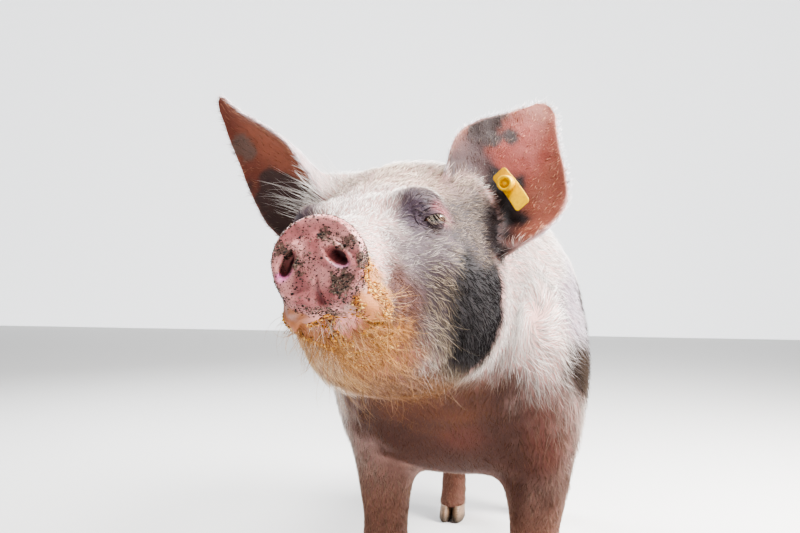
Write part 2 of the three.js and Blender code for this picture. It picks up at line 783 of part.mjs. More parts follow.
// The room that a leg's column takes below its cut.
function legRoom(leg) {
  const { low, high } = legBox(leg, GAP / 2);
  const block = new THREE.BoxGeometry(...high.map((v, i) => v - low[i]));
  return solidOf(block.translate(...high.map((v, i) => (v + low[i]) / 2)));
}

const legRooms = LEGS.map(legRoom);
const withoutLegs = (solid) => legRooms.reduce((rest, room) => rest.subtract(room), solid);
const shoulderCut = [[0, SHOULDER_CUT, 0], [0, 1, 0]];
const rumpCut = [[0, RUMP_CUT, 0], [0, 1, 0]];

const [shoulderRest] = part(wholes.shoulders, NECK_CUT.place, NECK_CUT.normal);
keep('shoulders', part(withoutLegs(shoulderRest), ...shoulderCut)[0], 'white');
keep('barrel', part(part(wholes.barrel, ...shoulderCut)[1], ...rumpCut)[0], 'skin');
keep('rump', part(withoutLegs(wholes.rump), ...rumpCut)[1], 'skin');

// ---- legs and feet

// A claw: D-shaped rings, flat on the side of the cleft, widest a little above the sole.
function clawGeometry(outward) {
  const sides = 10;
  const innerShare = 1 - CLAW.outerShare;
  const rings = CLAW_SECTIONS.map(([height, front, back, share]) => {
    const width = CLAW.width * share;
    return Array.from({ length: sides }, (_, i) => {
      const angle = (2 * Math.PI * i) / sides;
      const out = Math.sign(Math.sin(angle)) * Math.abs(Math.sin(angle)) ** CLAW.roundness;
      const x = out * width * (out > 0 ? CLAW.outerShare : innerShare);
      const y = (front + back) / 2 - (Math.cos(angle) * (back - front)) / 2;
      return [(x + width * innerShare + CLAW.cleft) * outward, y, height];
    });
  });
  return ringSkin(outward < 0 ? rings.map((ring) => [...ring].reverse()) : rings);
}

for (const entry of LEGS) {
  const { name, side, place, cut } = entry;
  const { middle, low, high } = legBox(entry, LEG_REGION.above);
  const skin = skinOf(bodyDistance, low, high, LEG_REGION.cell);
  const solid = solidOf(skin).simplify(LEG_REGION.flatness);
  const [, whole] = part(solid, [0, 0, cut], [0, 0, -1]);
  keep(name, whole.subtract(ahead([0, 0, CLAW.height + GAP], [0, 0, -1])), 'skin');
  const grownLeg = solidOf(grown(skin, bodyDistance));
  for (const [hand, outward] of [['inner', -side], ['outer', side]]) {
    const claw = solidOf(clawGeometry(outward).translate(middle, place, 0));
    keep(`${name}_claw_${hand}`, claw, 'claw');
    const dewclaw = ball(1, [0, 0, 0], DEWCLAW.radii, DEWCLAW.sides)
      .rotateX(THREE.MathUtils.degToRad(DEWCLAW.tilt))
      .translate(middle + outward * DEWCLAW.spread, place + DEWCLAW.back, DEWCLAW.height);
    keep(`${name}_dewclaw_${hand}`, solidOf(dewclaw).subtract(grownLeg), 'claw');
  }
}

// ---- tail

function tailGeometry() {
  const curve = new THREE.CatmullRomCurve3(TAIL.map((point) => new THREE.Vector3(...point)));
  const { steps, sides } = TAIL_GRID;
  const { tangents, normals, binormals } = curve.computeFrenetFrames(steps);
  const rings = tangents.map((_, i) => {
    const share = i / steps;
    const centre = curve.getPointAt(share);
    const left = (1 - share) ** TAIL_TAPER;
    const radius = TAIL_RADIUS.tip + (TAIL_RADIUS.root - TAIL_RADIUS.tip) * left;
    return Array.from({ length: sides }, (_unused, k) => {
      const angle = (2 * Math.PI * k) / sides;
      return centre.clone().addScaledVector(normals[i], radius * Math.cos(angle))
        .addScaledVector(binormals[i], radius * Math.sin(angle)).toArray();
    });
  });
  return ringSkin(rings);
}
const rumpGrown = solidOf(grown(skins.rump, bodyDistance));
keep('tail', solidOf(tailGeometry()).subtract(rumpGrown), 'skin');

// ---------------------------------------------------------------- the pig

const pig = new THREE.Group();
const body = new THREE.Group();
for (const [name, [geometry, colour]] of pieces) {
  const mesh = new THREE.Mesh(geometry, paint(colour));
  mesh.name = name;
  body.add(mesh);
}
// The origin is on the floor under the middle of the pig.
const box = new THREE.Box3().setFromObject(body);
const centre = box.getCenter(new THREE.Vector3());
body.position.set(-centre.x, -centre.y, -box.min.z);
pig.add(body);

export default pig;
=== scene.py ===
"""A young domestic pig standing with its head raised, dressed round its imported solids.

Lengths are metres. The pig looks along -Y, +X is its left side and +Z is up. The body is one
smooth field, negative inside, built from the same named sizes as the solids. One skin is drawn
round that field, a coat of tapered hairs is set on the skin, and eyes, claws and the ear tag
are pieces of their own.
"""

import logging
import math
from dataclasses import dataclass, field
from enum import Enum
from typing import Callable, Sequence

import bpy
import numpy as np
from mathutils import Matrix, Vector


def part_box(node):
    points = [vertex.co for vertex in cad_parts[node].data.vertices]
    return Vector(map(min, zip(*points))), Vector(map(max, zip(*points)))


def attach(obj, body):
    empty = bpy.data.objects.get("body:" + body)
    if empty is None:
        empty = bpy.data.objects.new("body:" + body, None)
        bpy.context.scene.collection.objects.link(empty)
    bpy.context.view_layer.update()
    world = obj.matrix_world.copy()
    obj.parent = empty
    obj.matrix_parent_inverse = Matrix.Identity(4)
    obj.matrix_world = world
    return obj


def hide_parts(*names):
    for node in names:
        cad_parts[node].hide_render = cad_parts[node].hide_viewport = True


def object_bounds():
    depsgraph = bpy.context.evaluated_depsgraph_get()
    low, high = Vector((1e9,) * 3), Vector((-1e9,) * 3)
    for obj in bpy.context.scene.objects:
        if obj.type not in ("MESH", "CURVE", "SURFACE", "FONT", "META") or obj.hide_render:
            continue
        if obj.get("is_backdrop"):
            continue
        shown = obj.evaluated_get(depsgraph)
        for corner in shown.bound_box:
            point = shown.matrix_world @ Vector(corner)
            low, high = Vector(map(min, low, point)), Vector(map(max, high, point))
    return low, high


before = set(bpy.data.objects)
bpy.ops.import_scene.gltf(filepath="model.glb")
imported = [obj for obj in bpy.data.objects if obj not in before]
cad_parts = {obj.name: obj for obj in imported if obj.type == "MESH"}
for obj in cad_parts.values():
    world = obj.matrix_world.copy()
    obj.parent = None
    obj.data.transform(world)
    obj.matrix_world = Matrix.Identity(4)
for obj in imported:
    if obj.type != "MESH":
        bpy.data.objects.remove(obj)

Array = np.ndarray
Field = Callable[[Array], Array]
CAD_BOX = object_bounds()
LOG = logging.getLogger("pig")

# ---------------------------------------------------------------- driving dimensions

# Trunk, along Y: place, back line, belly line, height of the widest line, half width,
# squareness of the section, sideways offset of its centre.
TRUNK = (
    (-0.300, 0.590, 0.455, 0.520, 0.065, 2.0, -0.034),
    (-0.240, 0.630, 0.432, 0.525, 0.088, 2.0, -0.030),
    (-0.170, 0.652, 0.400, 0.515, 0.112, 2.1, -0.022),
    (-0.110, 0.652, 0.345, 0.490, 0.132, 2.2, -0.012),
    (-0.060, 0.645, 0.297, 0.470, 0.148, 2.3, -0.005),
    (0.000, 0.634, 0.270, 0.455, 0.158, 2.3, 0.0),
    (0.100, 0.622, 0.258, 0.445, 0.162, 2.3, 0.0),
    (0.250, 0.624, 0.254, 0.445, 0.165, 2.3, 0.0),
    (0.400, 0.632, 0.260, 0.445, 0.165, 2.3, 0.0),
    (0.520, 0.635, 0.284, 0.455, 0.158, 2.3, 0.0),
    (0.620, 0.626, 0.316, 0.463, 0.151, 2.3, 0.0),
    (0.700, 0.606, 0.350, 0.472, 0.141, 2.2, 0.0),
    (0.770, 0.571, 0.388, 0.482, 0.116, 2.1, 0.0),
    (0.820, 0.530, 0.420, 0.480, 0.075, 2.0, 0.0),
)
TRUNK_FRONT = -0.330
TRUNK_REAR = 0.832

# Legs, by height: front and back edge from the leg's own place along Y, and the inner and
# outer edge from the middle of the body.
FORELEG = (
    (0.030, -0.050, 0.020, 0.072, 0.128),
    (0.055, -0.036, 0.030, 0.074, 0.126),
    (0.080, -0.024, 0.034, 0.075, 0.125),
    (0.110, -0.018, 0.028, 0.077, 0.123),
    (0.145, -0.024, 0.028, 0.073, 0.127),
    (0.175, -0.034, 0.030, 0.069, 0.131),
    (0.205, -0.034, 0.036, 0.068, 0.132),
    (0.245, -0.040, 0.052, 0.064, 0.139),
    (0.290, -0.052, 0.072, 0.058, 0.148),
    (0.340, -0.072, 0.092, 0.048, 0.158),
    (0.400, -0.090, 0.100, 0.030, 0.160),
    (0.460, -0.090, 0.095, 0.020, 0.155),
)
HINDLEG = (
    (0.030, -0.048, 0.022, 0.072, 0.128),
    (0.055, -0.030, 0.034, 0.074, 0.126),
    (0.080, -0.018, 0.040, 0.075, 0.125),
    (0.115, -0.008, 0.034, 0.078, 0.122),
    (0.155, -0.010, 0.036, 0.076, 0.124),
    (0.190, -0.016, 0.052, 0.073, 0.127),
    (0.220, -0.028, 0.066, 0.070, 0.131),
    (0.250, -0.058, 0.066, 0.066, 0.137),
    (0.290, -0.108, 0.064, 0.058, 0.146),
    (0.340, -0.148, 0.072, 0.045, 0.156),
    (0.400, -0.158, 0.085, 0.028, 0.160),
    (0.460, -0.150, 0.088, 0.018, 0.152),
)
LEG_TOP = 0.470
LEG_FOOT = 0.026
LEG_SQUARENESS = 2.2
LEG_MIDDLE = 0.100

# The head has a frame of its own: u to the pig's left, s back from the snout disc, v up.
SNOUT = (-0.0345, -0.467, 0.543)
HEAD_YAW, HEAD_PITCH, HEAD_ROLL = -1.0, 7.0, 9.0

# Head, by s: top, bottom, height of the widest line, half width, squareness.
HEAD = (
    (0.000, 0.031, -0.034, -0.001, 0.031, 2.0),
    (0.014, 0.030, -0.040, -0.004, 0.031, 2.1),
    (0.030, 0.034, -0.055, -0.010, 0.033, 2.2),
    (0.060, 0.043, -0.062, -0.012, 0.037, 2.3),
    (0.100, 0.055, -0.070, -0.012, 0.046, 2.3),
    (0.140, 0.072, -0.080, -0.012, 0.058, 2.3),
    (0.175, 0.088, -0.089, -0.014, 0.070, 2.2),
    (0.210, 0.101, -0.096, -0.016, 0.080, 2.2),
    (0.250, 0.112, -0.100, -0.016, 0.086, 2.1),
    (0.290, 0.113, -0.098, -0.012, 0.086, 2.1),
    (0.340, 0.100, -0.088, -0.008, 0.080, 2.0),
)
HEAD_FRONT = 0.004
HEAD_BACK = 0.330
DISC_RADIUS = 0.0355
DISC_MIDDLE = 0.006
DISC_HALF_DEPTH = 0.009

# Bulges on both sides of the head: centre, radii, blend.
BULGES = (
    ((0.049, 0.166, 0.063), (0.021, 0.035, 0.020), 0.022),  # brow
    ((0.060, 0.192, 0.006), (0.026, 0.055, 0.028), 0.030),  # cheek bone
    ((0.052, 0.235, -0.030), (0.040, 0.064, 0.056), 0.030),  # jowl
    ((0.026, 0.060, -0.034), (0.016, 0.055, 0.016), 0.016),  # upper lip
)

# Ears. Along the ear, from its root: place, inner edge, outer edge, depth of the cup, bend.
EAR = (
    (-0.015, -0.018, 0.062, 0.044, -0.010),
    (0.000, -0.024, 0.071, 0.046, 0.000),
    (0.030, -0.041, 0.080, 0.042, 0.004),
    (0.060, -0.048, 0.078, 0.032, 0.006),
    (0.090, -0.040, 0.060, 0.022, 0.006),
    (0.120, -0.024, 0.037, 0.013, 0.003),
    (0.145, -0.013, 0.021, 0.007, -0.002),
    (0.158, -0.008, 0.013, 0.004, -0.006),
    (0.165, -0.001, 0.003, 0.003, -0.008),
)
EAR_LENGTH = 0.165
EAR_START = -0.016

# Tail: the places that its middle line goes through, and its radius.
TAIL = (
    (0.000, 0.786, 0.522),
    (0.001, 0.832, 0.534),
    (0.009, 0.862, 0.508),
    (0.014, 0.868, 0.472),
    (0.004, 0.864, 0.436),
    (-0.014, 0.868, 0.414),
    (-0.026, 0.884, 0.412),
    (-0.024, 0.898, 0.428),
)
TAIL_ROOT_RADIUS = 0.0160
TAIL_TIP_RADIUS = 0.0042
TAIL_TAPER = 1.3

EYE_RADIUS = 0.012
EYE_GAZE = (-0.62, -0.05, 0.80)
CLAW_HEIGHT = 0.032

# How broadly limbs and head, ears and tail run into the rest.
LIMB_BLEND, EAR_BLEND, TAIL_BLEND = 0.045, 0.014, 0.012

# ---------------------------------------------------------------- curves, blends and noise


def join(a: Array, b: Array, blend: float) -> Array:
    """The lower of two distances, rounded off where they differ by less than the blend."""
    share = np.maximum(blend - np.abs(a - b), 0) / blend
    return np.minimum(a, b) - share * share * blend / 4


def meet(a: Array, b: Array, blend: float) -> Array:
    """The higher of two distances, rounded off in the same way."""
    return -join(-a, -b, blend)


def step(values: Array, low: float, high: float) -> Array:
    """0 below low, 1 above high, and a smooth rise of 3t² - 2t³ between them."""
    t = np.clip((values - low) / (high - low), 0, 1)
    return t * t * (3 - 2 * t)


def unit(vectors: Array) -> Array:
    """The same directions with length 1."""
    return vectors / np.maximum(np.linalg.norm(vectors, axis=-1, keepdims=True), 1e-9)


def dot(a: Array, b: Array) -> Array:
    """The inner product along the last axis, kept as a column."""
    return (a * b).sum(-1, keepdims=True)


def toward(a: Array | float, b: Array | float, share: Array) -> Array:
    """A mix of two sets of values, by a share for each."""
    return a + (b - a) * share


def blend_to(a: Array, b: Array, share: Array) -> Array:
    """A mix of two sets of rows, by a share for each row."""
    return toward(a, b, share[..., None])


def bell(values: Array, middle: Array | float, width: Array | float) -> Array:
    """1 at the middle, falling off to both sides as exp(-((x - middle) / width)²)."""
    return np.exp(-(((values - middle) / width) ** 2))


def folded(points: Array) -> Array:
    """The same places with their first coordinate always positive."""
    return np.stack([np.abs(points[:, 0]), points[:, 1], points[:, 2]], 1)


def squeezed(depth: Array, near: Array, far: Array, share: Array) -> Array:
    """Depths from an edge, negative inwards, drawn towards it.

    Down to near they are multiplied by the share, and from there to far they are stretched
    evenly, so that those beyond far stay.
    """
    close = depth * share
    slope = (far - near * share) / np.maximum(far - near, 1e-6)
    between = -far + (depth + far) * slope
    return np.where(depth > -near, close, np.where(depth > -far, between, depth))


class Curve:
    """A smooth curve through pairs of place and value.

    It is a cubic Hermite curve whose slope at each pair is the mean of the slopes on its two
    sides, weighted towards the shorter side. It is sampled finely once and read by
    interpolation.
    """

    SAMPLES = 700

    def __init__(self, places: Sequence[float], values: Sequence[float]) -> None:
        """Samples the curve through the given pairs."""
        x, y = np.array(places, float), np.array(values, float)
        steps, slopes = np.diff(x), np.zeros_like(y)
        rises = np.diff(y) / steps
        slopes[1:-1] = (rises[:-1] * steps[1:] + rises[1:] * steps[:-1]) / (steps[:-1] + steps[1:])
        slopes[0], slopes[-1] = rises[0], rises[-1]
        self.places = np.linspace(x[0], x[-1], self.SAMPLES)
        i = np.clip(np.searchsorted(x, self.places, side="right") - 1, 0, len(steps) - 1)
        t = (self.places - x[i]) / steps[i]
        rest = 1 - t
        self.values = (
            (1 + 2 * t) * rest * rest * y[i]
            + t * rest * rest * steps[i] * slopes[i]
            + t * t * (3 - 2 * t) * y[i + 1]
            - t * t * rest * steps[i] * slopes[i + 1]
        )

    def __call__(self, place: Array) -> Array:
        """The values at the given places, held level beyond both ends."""
        return np.interp(place, self.places, self.values)


def curves_of(table: Sequence[Sequence[float]], scale: float = 1.0) -> list[Curve]:
    """One curve for each column of a table after its first, which holds the places."""
    columns = np.array(table, float).T * scale
    return [Curve(columns[0], column) for column in columns[1:]]


class Noise:
    """Smooth random values in space, from -1 to 1, the same on every run.

    A repeating lattice holds random numbers, and a point takes the blend of the eight round
    it, with a smooth step along each axis.
    """

    SIZE = 32

    def __init__(self, seed: int) -> None:
        """Fills the lattice."""
        self.lattice = np.random.default_rng(seed).uniform(-1, 1, (self.SIZE,) * 3)

    def __call__(self, points: Array, cell: float) -> Array:
        """The value at each point, for a lattice with cells of the given size."""
        place = points / cell
        low = np.floor(place).astype(int)
        t = place - low
        t = t * t * (3 - 2 * t)
        total = np.zeros(len(points))
        for corner in range(8):
            bits = np.array([corner >> axis & 1 for axis in range(3)])
            weight = np.where(bits, t, 1 - t).prod(-1)
            i, j, k = ((low + bits) % self.SIZE).T
            total += weight * self.lattice[i, j, k]
        return total


NOISE = Noise(7)


def section_distance(
    x: Array, z: Array, half_width: Array, top: Array, bottom: Array, middle: Array, power: Array
) -> Array:
    """Distance from a superellipse whose upper and lower halves differ in height.

    The distance is measured along the line from the middle: the reach of the point less the
    reach of the outline in the same direction.
    """
    height = np.where(z > middle, top - middle, middle - bottom)
    ratio = (np.abs(x / half_width) ** power + np.abs((z - middle) / height) ** power) ** (1 / power)
    reach = np.hypot(x, z - middle)
    inside = -np.minimum(half_width, height)
    return np.where(ratio > 1e-4, reach - reach / np.maximum(ratio, 1e-6), inside)


def ellipsoid_distance(points: Array, centre: Sequence[float], radii: Sequence[float]) -> Array:
    """Nearly the distance from an ellipsoid: k(k - 1) over the steepness of k."""
    scaled = (points - np.array(centre)) / np.array(radii)
    reach = np.linalg.norm(scaled, axis=-1)
    slope = np.linalg.norm(scaled / np.array(radii), axis=-1)
    return reach * (reach - 1) / np.maximum(slope, 1e-9)


def patch(
    points: Array,
    centre: Sequence[float],
    radii: Sequence[float],
    soft: float = 0.25,
    wobble: float = 0.18,
    cell: float = 0.02,
) -> Array:
    """A marking: 1 inside an ellipsoid and 0 outside, with a soft edge that wanders.

    Args:
        points: Places in the frame that the ellipsoid is given in.
        centre: Its middle.
        radii: Its three half axes.
        soft: Half the width of the edge, as a share of the radii.
        wobble: How far the edge wanders, as a share of the radii.
        cell: The size of the wanderings.

    Returns:
        A share for each point.
    """
    reach = np.linalg.norm((points - np.array(centre)) / np.array(radii), axis=-1)
    reach = reach + wobble * (NOISE(points, cell) + 0.5 * NOISE(points + 9.0, cell / 2.3))
    return 1 - step(reach, 1 - soft, 1 + soft)


def line_distance(points: Array, line: Sequence[Sequence[float]]) -> tuple[Array, Array]:
    """How far each point is from a line through a few places, and how far along the line.

    Returns:
        The distance, and the share of the line's length at the nearest place.
    """
    knots = np.array(line, float)
    lengths = np.linalg.norm(np.diff(knots, axis=0), axis=1)
    starts = np.concatenate([[0], np.cumsum(lengths)])
    best = np.full(len(points), np.inf)
    along = np.zeros(len(points))
    for a, b, start, length in zip(knots[:-1], knots[1:], starts, lengths):
        t = np.clip((points - a) @ (b - a) / length**2, 0, 1)
        distance = np.linalg.norm(points - a - t[:, None] * (b - a), axis=1)
        nearer = distance < best
        best = np.where(nearer, distance, best)
        along = np.where(nearer, (start + t * length) / starts[-1], along)
    return best, along


# ---------------------------------------------------------------- the body field


def turn(axis: str, degrees: float) -> Array:
    """The matrix of a turn about one axis."""
    c, s = math.cos(math.radians(degrees)), math.sin(math.radians(degrees))
    rows = {
        "x": ((1, 0, 0), (0, c, -s), (0, s, c)),
        "y": ((c, 0, s), (0, 1, 0), (-s, 0, c)),
        "z": ((c, -s, 0), (s, c, 0), (0, 0, 1)),
    }
    return np.array(rows[axis])


@dataclass
class Trunk:
    """Neck, shoulders, barrel and rump as one loft along Y."""

    curves: list[Curve] = field(default_factory=lambda: curves_of(TRUNK))

    def distance(self, points: Array) -> Array:
        """Distance from the loft, which is closed by a rounded plane at each end."""
        x, y, z = points.T
        top, bottom, middle, half_width, power, offset = (curve(y) for curve in self.curves)
        around = section_distance(x - offset, z, half_width, top, bottom, middle, power)
        return meet(meet(around, y - TRUNK_REAR, 0.05), TRUNK_FRONT - y, 0.06)

    def angle(self, points: Array) -> Array:
        """The angle round the trunk's middle line, 0 on the back and positive to the left."""
        x, y, z = points.T
        return np.arctan2(x - self.curves[5](y), z - self.curves[2](y))


@dataclass
class Leg:
    """One leg as a loft by height, with its hoof left to the claws."""

    name: str
    side: int
    table: Sequence[Sequence[float]]
    place: float

    def __post_init__(self) -> None:
        """Draws the curves of the four edges."""
        self.curves = curves_of(self.table)

    def section(self, height: Array) -> tuple[Array, Array, Array, Array]:
        """Middle across, middle along, half width and half depth at a height."""
        front, back, inner, outer = (curve(height) for curve in self.curves)
        across = self.side * (inner + outer) / 2
        return across, self.place + (front + back) / 2, (outer - inner) / 2, (back - front) / 2

    def distance(self, points: Array) -> Array:
        """Distance from the loft, closed above by the trunk and below at the coronet."""
        x, y, z = points.T
        across, along, half_width, half_depth = self.section(z)
        flat = np.zeros_like(z)
        around = section_distance(
            x - across, y - along, half_width, half_depth, -half_depth, flat, LEG_SQUARENESS
        )
        return meet(meet(around, z - LEG_TOP, 0.06), LEG_FOOT - z, 0.012)


@dataclass
class Head:
    """The head without its ears, in a frame of its own."""

    curves: list[Curve] = field(default_factory=lambda: curves_of(HEAD))
    origin: Array = field(default_factory=lambda: np.array(SNOUT))
    axes: Array = field(
        default_factory=lambda: turn("z", HEAD_YAW) @ turn("x", -HEAD_PITCH) @ turn("y", -HEAD_ROLL)
    )

    def to_local(self, points: Array) -> Array:
        """Body places as u, s and v."""
        return (points - self.origin) @ self.axes

    def to_body(self, local: Array) -> Array:
        """u, s and v as body places."""
        return np.asarray(local) @ self.axes.T + self.origin

    def to_body_direction(self, directions: Array) -> Array:
        """Directions in the head's frame as directions of the body."""
        return np.asarray(directions) @ self.axes.T

    def distance(self, local: Array) -> Array:
        """Distance from the loft along s with the snout disc and the bulges of both sides."""
        u, s, v = local.T
        top, bottom, middle, half_width, power = (curve(s) for curve in self.curves)
        whole = section_distance(u, v, half_width, top, bottom, middle, power)
        whole = meet(whole, HEAD_FRONT - s, 0.012)
        whole = meet(whole, s - HEAD_BACK, 0.04)
        depth = np.abs(s - DISC_MIDDLE) - DISC_HALF_DEPTH
        whole = join(whole, meet(np.hypot(u, v) - DISC_RADIUS, depth, 0.008), 0.008)
        for centre, radii, blend in BULGES:
            whole = join(whole, ellipsoid_distance(folded(local), centre, radii), blend)
        roots = [
            ellipsoid_distance(local * (ear.side, 1, 1), ear.base, ear.base_radii) for ear in EARS
        ]
        return join(whole, np.minimum(*roots), 0.02)


@dataclass
class Ear:
    """One ear: a cupped leaf that stands out of the head."""

    name: str
    side: int
    root: tuple[float, float, float]
    tip: tuple[float, float, float]
    facing: tuple[float, float, float]
    length: float
    spread: float
    base: tuple[float, float, float]
    base_radii: tuple[float, float, float]
    rim: float = 0.0021
    middle: float = 0.0036

    def __post_init__(self) -> None:
        """Works out the ear's axes and the curves of its outline."""
        self.scale = self.length / EAR_LENGTH
        self.centre = np.array(self.root) + unit(np.array(self.tip)) * self.length / 2
        along = unit(np.array(self.tip))
        facing = np.array(self.facing)
        facing = unit(facing - along * (facing @ along))
        self.axes = np.stack([along, np.cross(along, facing), facing], 1)
        self.curves = curves_of(EAR, self.scale)

    def to_ear(self, local: Array) -> Array:
        """Head places as places along, across and in front of the ear."""
        return (local * (self.side, 1, 1) - np.array(self.root)) @ self.axes

    def to_head(self, own: Array) -> Array:
        """The reverse of to_ear."""
        return (own @ self.axes.T + np.array(self.root)) * (self.side, 1, 1)

    def outline(self, along: Array) -> tuple[Array, Array, Array, Array]:
        """Middle across, half width, depth of the cup and bend of the section at each place."""
        inner, outer, cup, bend = (curve(along) for curve in self.curves)
        outer = outer * self.spread
        return (inner + outer) / 2, np.maximum((outer - inner) / 2, 0.001), cup, bend

    def arc(self, edge: Array, half: Array, cup: Array) -> Array:
        """Length of the section's curve from its middle to an edge share.

        The curve is the parabola x = half·e, f = cup·e², so with k = 2·cup / half its length
        is half·(e·√(1 + k²e²) + asinh(ke) / k) / 2.
        """
        k = np.maximum(2 * cup / half, 1e-3)
        return half * (edge * np.sqrt(1 + (k * edge) ** 2) + np.arcsinh(k * edge) / k) / 2

    def unroll(self, own: Array) -> tuple[Array, Array, Array]:
        """The nearest place on the ear's middle surface.

        Args:
            own: Places along, across and in front of the ear.

        Returns:
            The share of the half width from the middle line, the distance in front of the
            surface, and the distance beyond the rim along the surface, negative inside it.
        """
        along, across, front = own.T
        middle, half, cup, bend = self.outline(along)
        x, f = across - middle, front - bend
        edge = np.clip(x / half, -1.6, 1.6)
        for _ in range(3):
            pull = half * (half * edge - x) + 2 * cup * edge * (cup * edge**2 - f)
            bow = half**2 - 2 * cup * f + 6 * (cup * edge) ** 2
            edge = np.clip(edge - pull / np.maximum(bow, 0.3 * half**2), -1.6, 1.6)
        rise = 2 * cup * edge
        slant = np.hypot(half, rise)
        off = ((f - cup * edge**2) * half - (x - half * edge) * rise) / slant
        past = ((x - half * edge) * half + (f - cup * edge**2) * rise) / slant * np.sign(edge)
        rim = self.arc(np.abs(edge), half, cup) - self.arc(1.0, half, cup)
        return edge, off, rim + np.maximum(past, 0)

    def radius(self, along: Array, edge: Array) -> Array:
        """Half the thickness: the rim's, and more towards the middle of the root."""
        share = np.clip(1 - along / self.length, 0, 1)
        return self.rim + (self.middle - self.rim) * np.sqrt(np.clip(1 - edge**2, 0, 1)) * share

    def distance(self, local: Array, extra: float = 0.0) -> Array:
        """Distance from the leaf's middle surface, less half of its thickness there.

        Args:
            local: Places in the head's frame.
            extra: How much thicker the leaf is made on each side, within the same outline.
        """
        own = self.to_ear(local)
        along = own[:, 0]
        edge, off, rim = self.unroll(own)
        radius = self.radius(along, edge) + extra
        beyond = np.maximum(rim + radius, 0)
        end = np.maximum(along - self.length + radius, 0) + np.maximum(EAR_START - along, 0)
        return np.sqrt(off**2 + beyond**2 + end**2) - radius

    def thinned(self, local: Array, extra: float) -> Array:
        """Where the points of a thickened leaf go when it gets its own thickness back.

        The rounded rim keeps its angles while its radius shrinks. Inside the rim, places are
        stretched evenly along the leaf, and each point then stands off the middle surface by
        the thickness there.
        """
        own = self.to_ear(local)
        edge, off, rim = self.unroll(own)
        _, half, cup, _ = self.outline(own[:, 0])
        radius = self.radius(own[:, 0], edge)
        wide = radius + extra
        reach = self.arc(1.0, half, cup)
        close, far = np.minimum(wide, reach / 2), np.minimum(4 * wide, reach)
        shift = squeezed(rim, close, far, radius / wide) - rim
        along = self.length + squeezed(own[:, 0] - self.length, wide, 4 * wide, radius / wide)
        edge = edge + np.sign(edge) * shift / np.hypot(half, 2 * cup * edge)
        middle, half, cup, bend = self.outline(along)
        radius = self.radius(along, edge)
        rim = self.arc(np.abs(edge), half, cup) - self.arc(1.0, half, cup)
        beyond = np.maximum(rim + radius, 0)
        end = np.maximum(along - self.length + radius, 0)
        off = np.sqrt(np.maximum(radius**2 - beyond**2 - end**2, 0)) * np.sign(off)
        slant = np.hypot(half, 2 * cup * edge)
        across = middle + half * edge - off * 2 * cup * edge / slant
        front = bend + cup * edge**2 + off * half / slant
        return self.to_head(np.stack([along, across, front], 1))


EARS = (
    Ear(
        "ear_left", 1, (0.074, 0.274, 0.071), (0.62, 0.30, 0.72), (0.25, -0.95, 0.15), 0.170, 1.0,
        (0.064, 0.273, 0.076), (0.031, 0.041, 0.036),
    ),
    Ear(
        "ear_right", -1, (0.048, 0.270, 0.121), (0.71, -0.19, 0.67), (0.42, -0.66, -0.62), 0.174, 0.82,
        (0.060, 0.274, 0.094), (0.036, 0.046, 0.045),
    ),
)
LEGS = (
    Leg("foreleg_left", 1, FORELEG, -0.018),
    Leg("foreleg_right", -1, FORELEG, 0.035),
    Leg("hindleg_left", 1, HINDLEG, 0.728),
    Leg("hindleg_right", -1, HINDLEG, 0.684),
)
TRUNK_LOFT = Trunk()
HEAD_LOFT = Head()


@dataclass
class Tail:
    """A hanging curl, as a row of overlapping balls that shrink towards the tip."""

    balls: int = 44

    def __post_init__(self) -> None:
        """Places the balls evenly along the tail."""
        knots = np.array(TAIL)
        lengths = np.concatenate([[0], np.cumsum(np.linalg.norm(np.diff(knots, axis=0), axis=1))])
        share = np.linspace(0, 1, self.balls)
        places = share * lengths[-1]
        self.centres = np.stack([Curve(lengths, column)(places) for column in knots.T], 1)
        self.radii = TAIL_TIP_RADIUS + (TAIL_ROOT_RADIUS - TAIL_TIP_RADIUS) * (1 - share) ** TAIL_TAPER

    def distance(self, points: Array) -> Array:
        """Distance from the nearest ball."""
        nearest = np.full(len(points), 1.0)
        for centre, radius in zip(self.centres, self.radii):
            nearest = np.minimum(nearest, np.linalg.norm(points - centre, axis=1) - radius)
        return nearest

    def share(self, points: Array) -> tuple[Array, Array]:
        """The nearest ball's share of the length, and the tail's direction there."""
        gaps = np.linalg.norm(points[:, None] - self.centres[None], axis=2)
        nearest = gaps.argmin(1)
        tangents = unit(np.gradient(self.centres, axis=0))
        return nearest / (self.balls - 1), tangents[nearest]


TAIL_CURL = Tail()


def only_near(near: Array, points: Array, distance: Field) -> Array:
    """A field worked out where it can matter, and 1 elsewhere."""
    values = np.ones(len(points))
    values[near] = distance(points[near])
    return values


def bare_distance(points: Array) -> Array:
    """Distance from the body without ears and tail, as the solids have it."""
    local = HEAD_LOFT.to_local(points)
    whole = join(
        only_near(points[:, 1] > -0.42, points, TRUNK_LOFT.distance),
        only_near(local[:, 1] < 0.45, local, HEAD_LOFT.distance),
        LIMB_BLEND,
    )
    for leg in LEGS:
        near = (points[:, 2] < 0.56) & (np.abs(points[:, 1] - leg.place) < 0.26)
        whole = join(whole, only_near(near, points, leg.distance), LIMB_BLEND)
    return whole


def coat_depth(points: Array) -> Array:
    """How far the skin lies inside the solids: the depth of the coat at each place.

    It is least on the snout and the feet, and grows from the face to the neck and trunk.
    """
    s = HEAD_LOFT.to_local(points)[:, 1]
    depth = 0.0004 + 0.0014 * step(s, 0.008, 0.030) + 0.0024 * step(s, 0.230, 0.330)
    legs = 1 - step(points[:, 2], 0.05, 0.33)
    return depth * (1 - 0.7 * legs)


